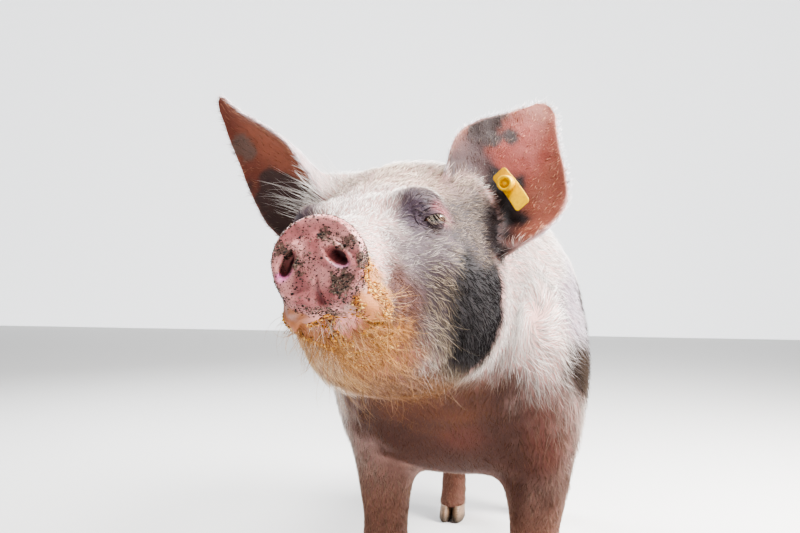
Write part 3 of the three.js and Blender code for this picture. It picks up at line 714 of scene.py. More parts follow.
def skin_distance(points: Array, thicker: float = 0.0) -> Array:
    """Distance from the whole skin, ears and tail included.

    Args:
        points: Body places.
        thicker: How much ears and tail are thickened, so that a coarse grid still finds them.
    """
    local = HEAD_LOFT.to_local(points)
    whole = bare_distance(points) + coat_depth(points)
    for ear in EARS:
        near = np.linalg.norm(local * (ear.side, 1, 1) - ear.centre, axis=1) < 0.14
        leaf = only_near(near, local, lambda p, e=ear: e.distance(p, thicker))
        whole = join(whole, leaf, EAR_BLEND)
    tail = only_near(points[:, 1] > 0.74, points, TAIL_CURL.distance)
    return join(whole, tail - thicker, TAIL_BLEND)


def measured(distance: Field, points: Array, reach: float = 0.0008) -> tuple[Array, Array]:
    """The value and the slope of a field at each point, from the corners of a tetrahedron."""
    corners = np.array(((1, -1, -1), (-1, -1, 1), (-1, 1, -1), (1, 1, 1)))
    values = [distance(points + corner * reach) for corner in corners]
    slope = sum(value[:, None] * corner for value, corner in zip(values, corners)) / (4 * reach)
    return sum(values) / 4, slope


# ---------------------------------------------------------------- the skin


@dataclass
class Mesh:
    """Triangles in body places."""

    points: Array
    faces: Array

    def __post_init__(self) -> None:
        """Lists each edge once, as a first and a second vertex."""
        size = len(self.points)
        sides = [self.faces[:, pair] for pair in ((0, 1), (1, 2), (2, 0))]
        pairs = np.sort(np.concatenate(sides), 1)
        keys = np.unique(pairs[:, 0].astype(np.int64) * size + pairs[:, 1])
        self.edges = keys // size, keys % size

    def longest(self) -> Array:
        """The longest edge of each triangle."""
        corners = self.points[self.faces]
        return np.linalg.norm(corners - np.roll(corners, 1, axis=1), axis=2).max(1)

    def normals(self) -> Array:
        """Outward directions at the vertices, weighted by the area of the faces round them."""
        a, b, c = (self.points[self.faces[:, i]] for i in range(3))
        flat = np.cross(b - a, c - a)
        total = np.zeros_like(self.points)
        for corner in range(3):
            for axis in range(3):
                total[:, axis] += np.bincount(
                    self.faces[:, corner], weights=flat[:, axis], minlength=len(total)
                )
        return unit(total)

    def averages(self) -> Array:
        """The mean of each vertex's neighbours."""
        a, b = self.edges
        size = len(self.points)
        count = np.bincount(a, minlength=size) + np.bincount(b, minlength=size)
        total = np.stack(
            [
                np.bincount(a, weights=self.points[b, axis], minlength=size)
                + np.bincount(b, weights=self.points[a, axis], minlength=size)
                for axis in range(3)
            ],
            1,
        )
        return total / count[:, None]

    def split(self, marked: Array) -> "Mesh":
        """Halves the edges of the marked triangles and of those that two of them meet.

        A triangle with all three edges halved becomes four, one with two becomes three and
        one with a single halved edge becomes two, so the mesh stays closed.
        """
        faces, size = self.faces, len(self.points)
        keys = np.sort(np.stack([faces, np.roll(faces, -1, axis=1)], 2), 2)
        keys = keys[..., 0] * size + keys[..., 1]
        for _ in range(3):
            chosen = np.unique(keys[marked])
            marked = marked | (np.isin(keys, chosen).sum(1) >= 2)
        chosen = np.unique(keys[marked])
        middles = (self.points[chosen // size] + self.points[chosen % size]) / 2
        place = np.searchsorted(chosen, keys)
        place[place == len(chosen)] = 0
        cut = chosen[place] == keys
        new = np.where(cut, place + size, -1)
        count = cut.sum(1)
        whole, one, all_three = faces[count == 0], count == 1, count == 3
        a, b, c = faces[all_three].T
        ab, bc, ca = new[all_three].T
        quarters = ((a, ab, ca), (ab, b, bc), (ca, bc, c), (ab, bc, ca))
        parts = [whole, *(np.stack(quarter, 1) for quarter in quarters)]
        first = cut[one].argmax(1)
        rows = np.arange(len(first))
        a, b, c = (faces[one][rows, (first + i) % 3] for i in range(3))
        ab = new[one][rows, first]
        parts += [np.stack((a, ab, c), 1), np.stack((ab, b, c), 1)]
        return Mesh(np.concatenate([self.points, middles]), np.concatenate(parts))


def surface_of(distance: Field, low: Array, high: Array, cell: float) -> Mesh:
    """The closed skin of a field on a grid.

    Each grid cell that the skin passes through has one vertex, at the mean of the crossings of
    its edges, and each crossed edge has one square face round it, halved into triangles.
    """
    count = np.ceil((high - low) / cell).astype(int) + 1
    axes = [low[i] + cell * np.arange(count[i]) for i in range(3)]
    grid = np.stack(np.meshgrid(*axes, indexing="ij"), -1)
    values = np.concatenate(
        [distance(slab.reshape(-1, 3)).reshape(slab.shape[:-1]) for slab in grid]
    ).reshape(count)
    sums = np.zeros((*(count - 1), 3))
    hits = np.zeros(count - 1)
    squares = []
    for axis in range(3):
        here = np.take(values, np.arange(count[axis] - 1), axis)
        there = np.take(values, np.arange(1, count[axis]), axis)
        place = np.argwhere((here < 0) != (there < 0))
        first, second = (axis + 1) % 3, (axis + 2) % 3
        inner = (place[:, first] > 0) & (place[:, second] > 0)
        inner &= (place[:, first] < count[first] - 1) & (place[:, second] < count[second] - 1)
        place = place[inner]
        a, b = here[tuple(place.T)], there[tuple(place.T)]
        crossing = low + place * cell
        crossing[:, axis] += a / (a - b) * cell
        corners = []
        for p, q in ((0, 0), (1, 0), (1, 1), (0, 1)):
            corner = place.copy()
            corner[:, first] -= p
            corner[:, second] -= q
            np.add.at(sums, tuple(corner.T), crossing)
            np.add.at(hits, tuple(corner.T), 1)
            corners.append(np.ravel_multi_index(corner.T, count - 1))
        square = np.stack(corners, 1)
        square[a > 0] = square[a > 0][:, ::-1]
        squares.append(square)
    used, faces = np.unique(np.concatenate(squares), return_inverse=True)
    faces = faces.reshape(-1, 4)
    points = sums.reshape(-1, 3)[used] / hits.reshape(-1)[used][:, None]
    short = np.linalg.norm(points[faces[:, 0]] - points[faces[:, 2]], axis=1) <= np.linalg.norm(
        points[faces[:, 1]] - points[faces[:, 3]], axis=1
    )
    order = np.where(short[:, None], (0, 1, 2, 0, 2, 3), (0, 1, 3, 1, 2, 3))
    return Mesh(points, np.take_along_axis(faces, order, 1).reshape(-1, 3))


@dataclass(frozen=True)
class Crease:
    """A groove along a line through a few places, with a soft swell on both sides.

    The skin sinks by depth times exp(-(d / width)²) at the distance d from the line, and rises
    by swell times the depth at twice the width. Both fade towards the ends of the line.
    """

    line: tuple[tuple[float, float, float], ...]
    depth: float
    width: float
    swell: float = 0.35

    def lift(self, points: Array) -> Array:
        """How far each point moves outwards."""
        distance, along = line_distance(points, self.line)
        fade = step(along, 0.0, 0.18) * (1 - step(along, 0.82, 1.0))
        reach = distance / self.width
        groove = bell(reach, 0.0, 1.0)
        ridge = bell(reach, 2.0, 0.8) * self.swell
        return self.depth * (ridge - groove) * fade


# Creases of the left side of the face, in u, s and v; the right side has them too.
FACE_CREASES = (
    Crease(((0.000, 0.006, -0.0415), (0.018, 0.008, -0.042), (0.031, 0.034, -0.047),
            (0.037, 0.060, -0.050), (0.039, 0.078, -0.052)), 0.0030, 0.0024, 0.40),  # mouth
    Crease(((0.043, 0.055, -0.012), (0.042, 0.076, -0.045), (0.030, 0.116, -0.076)),
           0.0024, 0.0045),  # fold behind the corner of the mouth
    Crease(((0.050, 0.060, 0.004), (0.051, 0.082, -0.030), (0.045, 0.110, -0.062)),
           0.0012, 0.0040),
    Crease(((0.049, 0.118, 0.064), (0.062, 0.140, 0.072), (0.074, 0.166, 0.066)),
           0.0014, 0.0026),  # above the upper lid
    Crease(((0.050, 0.112, 0.058), (0.061, 0.134, 0.0655), (0.073, 0.160, 0.061)),
           0.0010, 0.0018),
    Crease(((0.053, 0.118, 0.040), (0.066, 0.142, 0.034), (0.075, 0.168, 0.038)),
           0.0013, 0.0024),  # under the lower lid
    Crease(((0.054, 0.118, 0.044), (0.066, 0.126, 0.026), (0.076, 0.146, 0.012),
            (0.084, 0.168, 0.002)), 0.0017, 0.0032),  # from the inner corner down the cheek
    Crease(((0.000, 0.022, 0.034), (0.016, 0.022, 0.030), (0.030, 0.020, 0.016)),
           0.0016, 0.0030),  # behind the top of the disc
    Crease(((0.000, 0.036, 0.037), (0.018, 0.037, 0.033), (0.032, 0.034, 0.018)),
           0.0010, 0.0034),
    Crease(((0.030, 0.016, -0.004), (0.032, 0.024, -0.022), (0.026, 0.022, -0.036)),
           0.0012, 0.0028),
    Crease(((0.075, 0.262, -0.085), (0.094, 0.270, -0.030), (0.094, 0.262, 0.020)),
           0.0035, 0.0070),  # behind the jowl
)
# Creases of the trunk and legs, on both sides.
BODY_CREASES = (
    Crease(((0.000, -0.190, 0.356), (0.060, -0.172, 0.366), (0.110, -0.140, 0.400),
            (0.138, -0.110, 0.440)), 0.0060, 0.0120),  # under the neck
    Crease(((0.062, -0.100, 0.345), (0.068, -0.082, 0.300), (0.064, -0.050, 0.272)),
           0.0050, 0.0075),  # front of the armpit
    Crease(((0.118, 0.070, 0.270), (0.140, 0.082, 0.320), (0.150, 0.086, 0.380)),
           0.0045, 0.0090),  # behind the elbow
    Crease(((0.120, 0.585, 0.300), (0.146, 0.580, 0.360), (0.152, 0.570, 0.420)),
           0.0050, 0.0110),  # flank
    Crease(((0.004, 0.770, 0.585), (0.004, 0.822, 0.500), (0.004, 0.812, 0.420),
            (0.004, 0.780, 0.370)), 0.0060, 0.0090),  # between the hams
)


@dataclass(frozen=True)
class Nostril:
    """An oval hole in the snout disc, in u and v, that leans as it goes back."""

    centre: tuple[float, float]
    radii: tuple[float, float]
    tilt: float
    lean: tuple[float, float]
    depth: float = 0.013

    def reach(self, u: Array, v: Array) -> Array:
        """1 on the rim, less inside and more outside."""
        c, s = math.cos(math.radians(self.tilt)), math.sin(math.radians(self.tilt))
        du, dv = u - self.centre[0], v - self.centre[1]
        return np.hypot((du * c + dv * s) / self.radii[0], (dv * c - du * s) / self.radii[1])


NOSTRILS = (
    Nostril((-0.0210, 0.0015), (0.0050, 0.0112), -34.0, (-0.004, 0.003)),
    Nostril((0.0152, 0.0020), (0.0054, 0.0100), 42.0, (0.003, 0.003)),
)
# The groove from the middle of the disc down to the lip.
PHILTRUM = ((0.0, 0.0, -0.008), (-0.0012, 0.0, -0.020), (0.0010, 0.0, -0.030), (-0.0010, 0.0, -0.040))

# Folds round the slit of the eye: distance from its edge, depth and width.
LID_FOLDS = ((0.0030, 0.0006, 0.0006), (0.0056, 0.0010, 0.0008), (0.0086, 0.0009, 0.0010))


@dataclass
class Eye:
    """An eye's ball and lids, in a frame of its own: x back along the slit, y up and z out."""

    side: int
    centre: Array
    lid: float = 0.0131
    slit_middle: float = -0.0025
    slit_half: float = 0.0130
    slit_drop: float = -0.0024
    upper: float = 0.0062
    lower: float = 0.0012
    oval: tuple[float, float, float] = (-0.0020, 0.0215, 0.0150)
    sunk: float = 0.0042

    def __post_init__(self) -> None:
        """Sets the eye's axes: back along the slit, up and outwards."""
        outward = unit(measured(bare_distance, self.centre[None])[1][0])
        back = HEAD_LOFT.to_body_direction((0.45 * self.side, 1.0, 0.06))
        along = unit(back - outward * (back @ outward))
        up = np.cross(along, outward) * self.side
        up *= np.sign(up[2])
        self.axes = np.stack([along, up, outward])

    def to_eye(self, points: Array) -> Array:
        """Body places in the eye's frame."""
        return (points - self.centre) @ self.axes.T

    def to_body(self, own: Array) -> Array:
        """The reverse of to_eye."""
        return own @ self.axes + self.centre

    def covered(self, points: Array) -> Array:
        """1 where the lids cover the skin, 0 a little outside them."""
        x, y, z = self.to_eye(points).T
        middle, wide, tall = self.oval
        reach = np.hypot((x - middle) / wide, y / tall)
        return (1 - step(reach, 0.80, 0.97)) * step(z, -0.004, 0.002)

    def sink(self, points: Array) -> Array:
        """Draws the skin in under the lids."""
        return points - self.axes[2] * (self.sunk * self.covered(points))[:, None]

    def natural(self, x: Array, y: Array) -> Array:
        """How far out the head's own surface lies."""
        z = np.full_like(x, 0.010)
        for _ in range(14):
            z = z - 0.85 * skin_distance(self.to_body(np.stack([x, y, z], -1)))
        return z

    def margin(self, turning: Array) -> tuple[Array, Array]:
        """The slit's edge at an angle round it: its ends lie on one line, the upper lid arches.

        With the angle t, x = middle + half·cos t. The upper lid stands above the line of the
        corners by upper·sin²t·(1 - 0.3·cos t), and the lower one hangs below by lower·sin²t.
        """
        cos, sin = np.cos(turning), np.sin(turning)
        above = self.upper * sin**2 * (1 - 0.30 * cos)
        y = self.slit_drop + np.where(sin > 0, above, -self.lower * sin**2)
        return self.slit_middle + self.slit_half * cos, y

    def lid_height(self, x: Array, y: Array) -> Array:
        """How far out the lids lie: over the ball where that stands out, else on the head."""
        ball = np.sqrt(np.maximum(self.lid**2 - x**2 - y**2, 0))
        return -join(-self.natural(x, y), -ball, 0.0035)

    def lids(self, steps: int = 168, rows: int = 46) -> tuple[Mesh, Array]:
        """Both lids as one ring of skin round the slit.

        Rows run from the slit's edge to an oval. Inside the edge, three rows turn in over a
        rounded rim towards the ball. Outside it, the height is lid_height, with a bead along the
        rim, the three LID_FOLDS round it, and fine wrinkles that fan out from the corners.

        Returns:
            The mesh, and the share of the way from the edge to the oval at each vertex.
        """
        turning = np.linspace(0, 2 * math.pi, steps, endpoint=False)[None]
        share = np.append([-0.15, -0.10, -0.05], np.linspace(0, 1, rows) ** 1.3)[:, None]
        middle, wide, tall = self.oval
        edge_x, edge_y = self.margin(turning)
        out_x, out_y = middle + wide * np.cos(turning), tall * np.sin(turning)
        span = np.hypot(out_x - edge_x, out_y - edge_y)
        x = edge_x + (out_x - edge_x) * np.maximum(share, 0)
        y = edge_y + (out_y - edge_y) * np.maximum(share, 0)
        inside = np.minimum(share, 0) * 0.006
        y = y + 0.9 * inside * np.sign(np.sin(turning)) * np.abs(np.sin(turning)) ** 0.5
        z = self.lid_height(x.ravel(), y.ravel()).reshape(x.shape)
        away = np.maximum(share, 0) * span
        upper = step(np.sin(turning), -0.05, 0.35)
        z = z + 0.00045 * bell(away, 0.0009, 0.0006)
        for place, depth, width in LID_FOLDS:
            shifted = place * (1 + 0.10 * np.sin(turning * 3.0 + place * 900))
            deep = depth * (0.55 + 0.45 * upper) * np.abs(np.sin(turning)) ** 0.35
            z = z - deep * bell(away, shifted, width)
            z = z + 0.4 * deep * bell(away, shifted + 1.9 * width, width)
        fan = np.sin(turning * 46 + 3 * np.sin(turning * 7)) * np.sin(away / 0.0021 + turning * 5)
        z = z + 0.00010 * fan * step(share, 0.03, 0.2)
        places = np.stack(np.broadcast_arrays(x, y, z), -1).reshape(-1, 3)
        z = z + 0.00022 * NOISE(places, 0.0028).reshape(z.shape)
        z = np.where(share < 0, z + inside * (1.0 + 2.4 * np.minimum(-share / 0.15, 1)), z)
        z = z - 0.0012 * step(share, 0.90, 1.0)
        rings = self.to_body(np.stack([x, y, z], -1))
        mesh = tube_mesh(rings, closed=False)
        if (mesh.normals() @ self.axes[2]).mean() < 0:
            mesh.faces = mesh.faces[:, ::-1].copy()
        return mesh, np.broadcast_to(share, x.shape).ravel()


# Edge lengths that the skin's mesh should have, by region. The disc's serve the mouth too.
EDGE_TRUNK, EDGE_LEGS, EDGE_FEET, EDGE_TAIL, EDGE_HEAD = 0.0125, 0.0078, 0.0050, 0.0042, 0.0036
EDGE_EARS, EDGE_EYES, EDGE_MUZZLE = 0.0029, 0.0022, 0.0021
EDGE_DISC, EDGE_NOSTRILS = 0.0015, 0.0010


@dataclass
class Skin:
    """One seamless skin over the whole body, finest round the eyes, snout and ears."""

    eyes: tuple[Eye, Eye]
    cell: float = 0.0085
    thicker: float = 0.009
    low: tuple[float, float, float] = (-0.29, -0.52, -0.010)
    high: tuple[float, float, float] = (0.27, 0.94, 0.790)

    def wanted_edge(self, points: Array) -> Array:
        """The edge length that the mesh should have at each place."""
        local = HEAD_LOFT.to_local(points)
        u, s, v = local.T
        edge = np.full(len(points), EDGE_TRUNK)
        edge = np.where(points[:, 2] < 0.30, EDGE_LEGS, edge)
        edge = np.where(points[:, 2] < 0.07, EDGE_FEET, edge)
        edge = np.where(points[:, 1] > 0.855, EDGE_TAIL, edge)
        edge = np.where(s < 0.30, EDGE_HEAD, edge)
        for ear in EARS:
            own = ear.to_ear(local)
            near = (np.abs(ear.distance(local, self.thicker)) < 0.006) & (own[:, 0] > -0.012)
            edge = np.where(near, EDGE_EARS, edge)
        mouth, _ = line_distance(folded(local), FACE_CREASES[0].line)
        edge = np.where(s < 0.030, EDGE_MUZZLE, edge)
        edge = np.where((mouth < 0.007) & (s < 0.09), EDGE_DISC, edge)
        edge = np.where((s < 0.010) & (np.hypot(u, v) < DISC_RADIUS), EDGE_DISC, edge)
        for nostril in NOSTRILS:
            edge = np.where((s < 0.008) & (nostril.reach(u, v) < 1.35), EDGE_NOSTRILS, edge)
        for eye in self.eyes:
            away = np.linalg.norm(points - eye.centre, axis=1)
            edge = np.where(away < 0.030, EDGE_EYES, edge)
        return edge

    def settle(
        self, mesh: Mesh, distance: Field, relax: Array | float, steps: int, loose: Array | None = None
    ) -> None:
        """Moves vertices onto the field, and spreads them evenly along it meanwhile.

        Args:
            mesh: The mesh to move.
            distance: The field that it settles on.
            relax: The share of the way to the neighbours' mean, taken along the surface.
            steps: How many times.
            loose: Which vertices move, all by default.
        """
        rows = np.arange(len(mesh.points)) if loose is None else np.flatnonzero(loose)
        for _ in range(steps):
            value, slope = measured(distance, mesh.points[rows])
            steep = np.maximum(dot(slope, slope), 0.2)
            normal = unit(slope)
            slide = mesh.averages()[rows] - mesh.points[rows]
            slide -= normal * dot(slide, normal)
            move = -slope * value[:, None] / steep
            size = np.linalg.norm(move, axis=1, keepdims=True)
            share = relax[rows] if isinstance(relax, np.ndarray) else relax
            mesh.points[rows] += move * np.minimum(1, 0.005 / np.maximum(size, 1e-9)) + slide * share

    def untangle(self, mesh: Mesh, distance: Field, rounds: int = 3) -> None:
        """Evens out the vertices round faces that point into the body, and settles them."""
        for _ in range(rounds):
            corners = mesh.points[mesh.faces]
            flat = np.cross(corners[:, 1] - corners[:, 0], corners[:, 2] - corners[:, 0])
            wrong = (unit(flat) * mesh.normals()[mesh.faces].mean(1)).sum(1) < 0.3
            if not wrong.any():
                return
            loose = np.zeros(len(mesh.points), bool)
            loose[mesh.faces[wrong]] = True
            for _ in range(2):
                loose[mesh.faces[loose[mesh.faces].any(1)]] = True
            for _ in range(4):
                mesh.points += (mesh.averages() - mesh.points) * 0.7 * loose[:, None]
            self.settle(mesh, distance, 0.3, 3, loose)

    def thin_ears(self, mesh: Mesh) -> None:
        """Gives the thickened ears their own thickness where they stand clear of the head."""
        clear = step(bare_distance(mesh.points), 0.004, 0.018)[:, None]
        local = HEAD_LOFT.to_local(mesh.points)
        for ear in EARS:
            own = ear.to_ear(local)
            near = (np.abs(ear.distance(local, self.thicker)) < 0.004) & (own[:, 0] > -0.012)
            moved = HEAD_LOFT.to_body(ear.thinned(local, self.thicker))
            share = clear * near[:, None]
            mesh.points = mesh.points + (moved - mesh.points) * share
            local = HEAD_LOFT.to_local(mesh.points)

    def ear_share(self, points: Array) -> Array:
        """1 on the ears and 0 elsewhere, as a column."""
        local = HEAD_LOFT.to_local(points)
        nearest = np.minimum(*(ear.distance(local, self.thicker) for ear in EARS))
        return (step(bare_distance(points), 0.006, 0.014) * (nearest < 0.004))[:, None]

    def shape_disc(self, local: Array) -> Array:
        """Rim, dish, nostrils and the groove of the snout disc.

        Everything moves along s, so that the front of the disc is a relief: a bead near the
        edge, a shallow ring inside it, a raised ring round each nostril, and a groove from
        the middle down to the lip.
        """
        u, s, v = local.T
        front = 1 - step(s, 0.004, 0.011)
        radius = np.hypot(u, v)
        back = 0.0011 * bell(radius, 0.0245, 0.0060)
        back -= 0.0011 * bell(radius, 0.0325, 0.0028)
        back -= 0.0016 * bell(u, 0.0, 0.0070) * bell(v, 0.012, 0.012)
        line, along = line_distance(local * (1, 0, 1), PHILTRUM)
        groove = (0.0012 + 0.0078 * along**1.5) * bell(line, 0.0, 0.0014 + 0.0030 * along)
        lobes = bell(np.abs(u), 0.0115, 0.007) * bell(v, -0.025, 0.010)
        back -= 0.0024 * lobes
        back += 0.0010 * bell(v, 0.2 * u - 0.016, 0.0022) * step(np.abs(u), 0.002, 0.010)
        upper = bell(v, 0.0215 - 9 * u**2, 0.0016)
        back += 0.0007 * upper * (1 - step(np.abs(u), 0.014, 0.024))
        back += 0.0006 * NOISE(local, 0.0060) + 0.0004 * NOISE(local, 0.0030)
        shift = np.zeros_like(local)
        for nostril in NOSTRILS:
            reach = nostril.reach(u, v)
            hole = 1 - step(reach, 0.62, 1.04)
            back += nostril.depth * hole - 0.0014 * bell(reach, 1.32, 0.26)
            shift[:, 0] += nostril.lean[0] * hole
            shift[:, 2] += nostril.lean[1] * hole
        shift[:, 1] = back
        shift *= front[:, None]
        shift[:, 1] += groove * (1 - step(s, 0.012, 0.022)) * step(-v, -0.004, 0.006)
        return local + shift

    def shape_details(self, mesh: Mesh) -> None:
        """Folds, lids, ear veins and slight unevenness, on the finished mesh."""
        points = mesh.points
        local = HEAD_LOFT.to_local(points)
        normals = mesh.normals()
        s = local[:, 1]
        lift = 0.0010 * NOISE(points, 0.045) + 0.0005 * NOISE(points, 0.017)
        head = 1 - step(s, 0.26, 0.33)
        lift *= 1 - 0.8 * head
        lift += head * 0.0005 * NOISE(points, 0.012)
        for creases, places in ((FACE_CREASES, folded(local)), (BODY_CREASES, folded(points))):
            for crease in creases:
                lift += crease.lift(places)
        for ear in EARS:
            lift += self.ear_relief(ear, local)
        points = points + normals * lift[:, None]
        local = HEAD_LOFT.to_local(points)
        points = HEAD_LOFT.to_body(self.shape_disc(local))
        for eye in self.eyes:
            points = eye.sink(points)
        mesh.points = points

    def ear_relief(self, ear: Ear, local: Array) -> Array:
        """Ridges that fan out from the root of the ear, and its slightly rolled rim."""
        own = ear.to_ear(local)
        along = own[:, 0]
        edge, off, _ = ear.unroll(own)
        near = (np.abs(off) < 0.008) & (along > -0.01) & (np.abs(edge) < 1.1)
        fan = edge + 0.12 * np.sin(along / 0.03)
        ridges = np.sin(fan * 11.0) * bell(edge, 0.0, 0.7)
        fade = step(along, 0.01, 0.05) * (1 - step(along / ear.length, 0.55, 0.9))
        return np.where(near, 0.00055 * ridges * fade + 0.0004 * NOISE(local, 0.01), 0.0)

    def build(self) -> Mesh:
        """Draws the skin coarsely with thick ears, refines it by turns and thins the ears."""
        low, high = np.array(self.low), np.array(self.high)

        def thick(points: Array) -> Array:
            """The field with thick ears and tail."""
            return skin_distance(points, self.thicker)

        mesh = surface_of(thick, low, high, self.cell)
        for _ in range(5):
            self.settle(mesh, thick, 0.5, 3)
            self.untangle(mesh, thick)
            centres = mesh.points[mesh.faces].mean(1)
            mesh = mesh.split(mesh.longest() > 1.4 * self.wanted_edge(centres))
        self.settle(mesh, thick, 0.5, 2)
        self.untangle(mesh, thick)
        self.thin_ears(mesh)
        self.settle(mesh, skin_distance, 0.35 * (1 - self.ear_share(mesh.points)), 4)
        self.shape_details(mesh)
        return mesh


# ---------------------------------------------------------------- markings

Colour = tuple[int, int, int]


def spread(colour: Colour, rows: Array) -> Array:
    """One colour for every row, in linear light."""
    return np.broadcast_to(paint(colour), rows.shape)


def paint(colour: Colour) -> Array:
    """A screen colour, from 0 to 255, as linear light: ((c + 0.055) / 1.055)^2.4."""
    value = np.array(colour) / 255
    return np.where(value <= 0.04045, value / 12.92, ((value + 0.055) / 1.055) ** 2.4)


class Space(Enum):
    """The frames that markings are placed in."""

    BODY = "body"
    HEAD = "head"
    BOTH_SIDES = "head, mirrored"
    EAR_LEFT = "inside of the left ear"
    EAR_RIGHT = "inside of the right ear"


@dataclass(frozen=True)
class Mark:
    """A patch of the hide: an uneven oval with its own skin and hair."""

    space: Space
    centre: tuple[float, float, float]
    radii: tuple[float, float, float]
    skin: Colour
    hair: Colour
    share: float = 1.0
    soft: float = 0.25
    wobble: float = 0.18
    cell: float = 0.02


# The colours that come up again and again.
WHITE_HAIR, DUN_HAIR, BLACK_HAIR = (250, 245, 240), (206, 188, 158), (25, 20, 22)
PALE_SKIN, GREY_SKIN = (206, 164, 156), (70, 56, 60)
SLATE_SKIN, BLACK_SKIN = (54, 42, 44), (26, 20, 22)
EAR_SKIN, EAR_DARK = (112, 62, 50), (50, 38, 37)

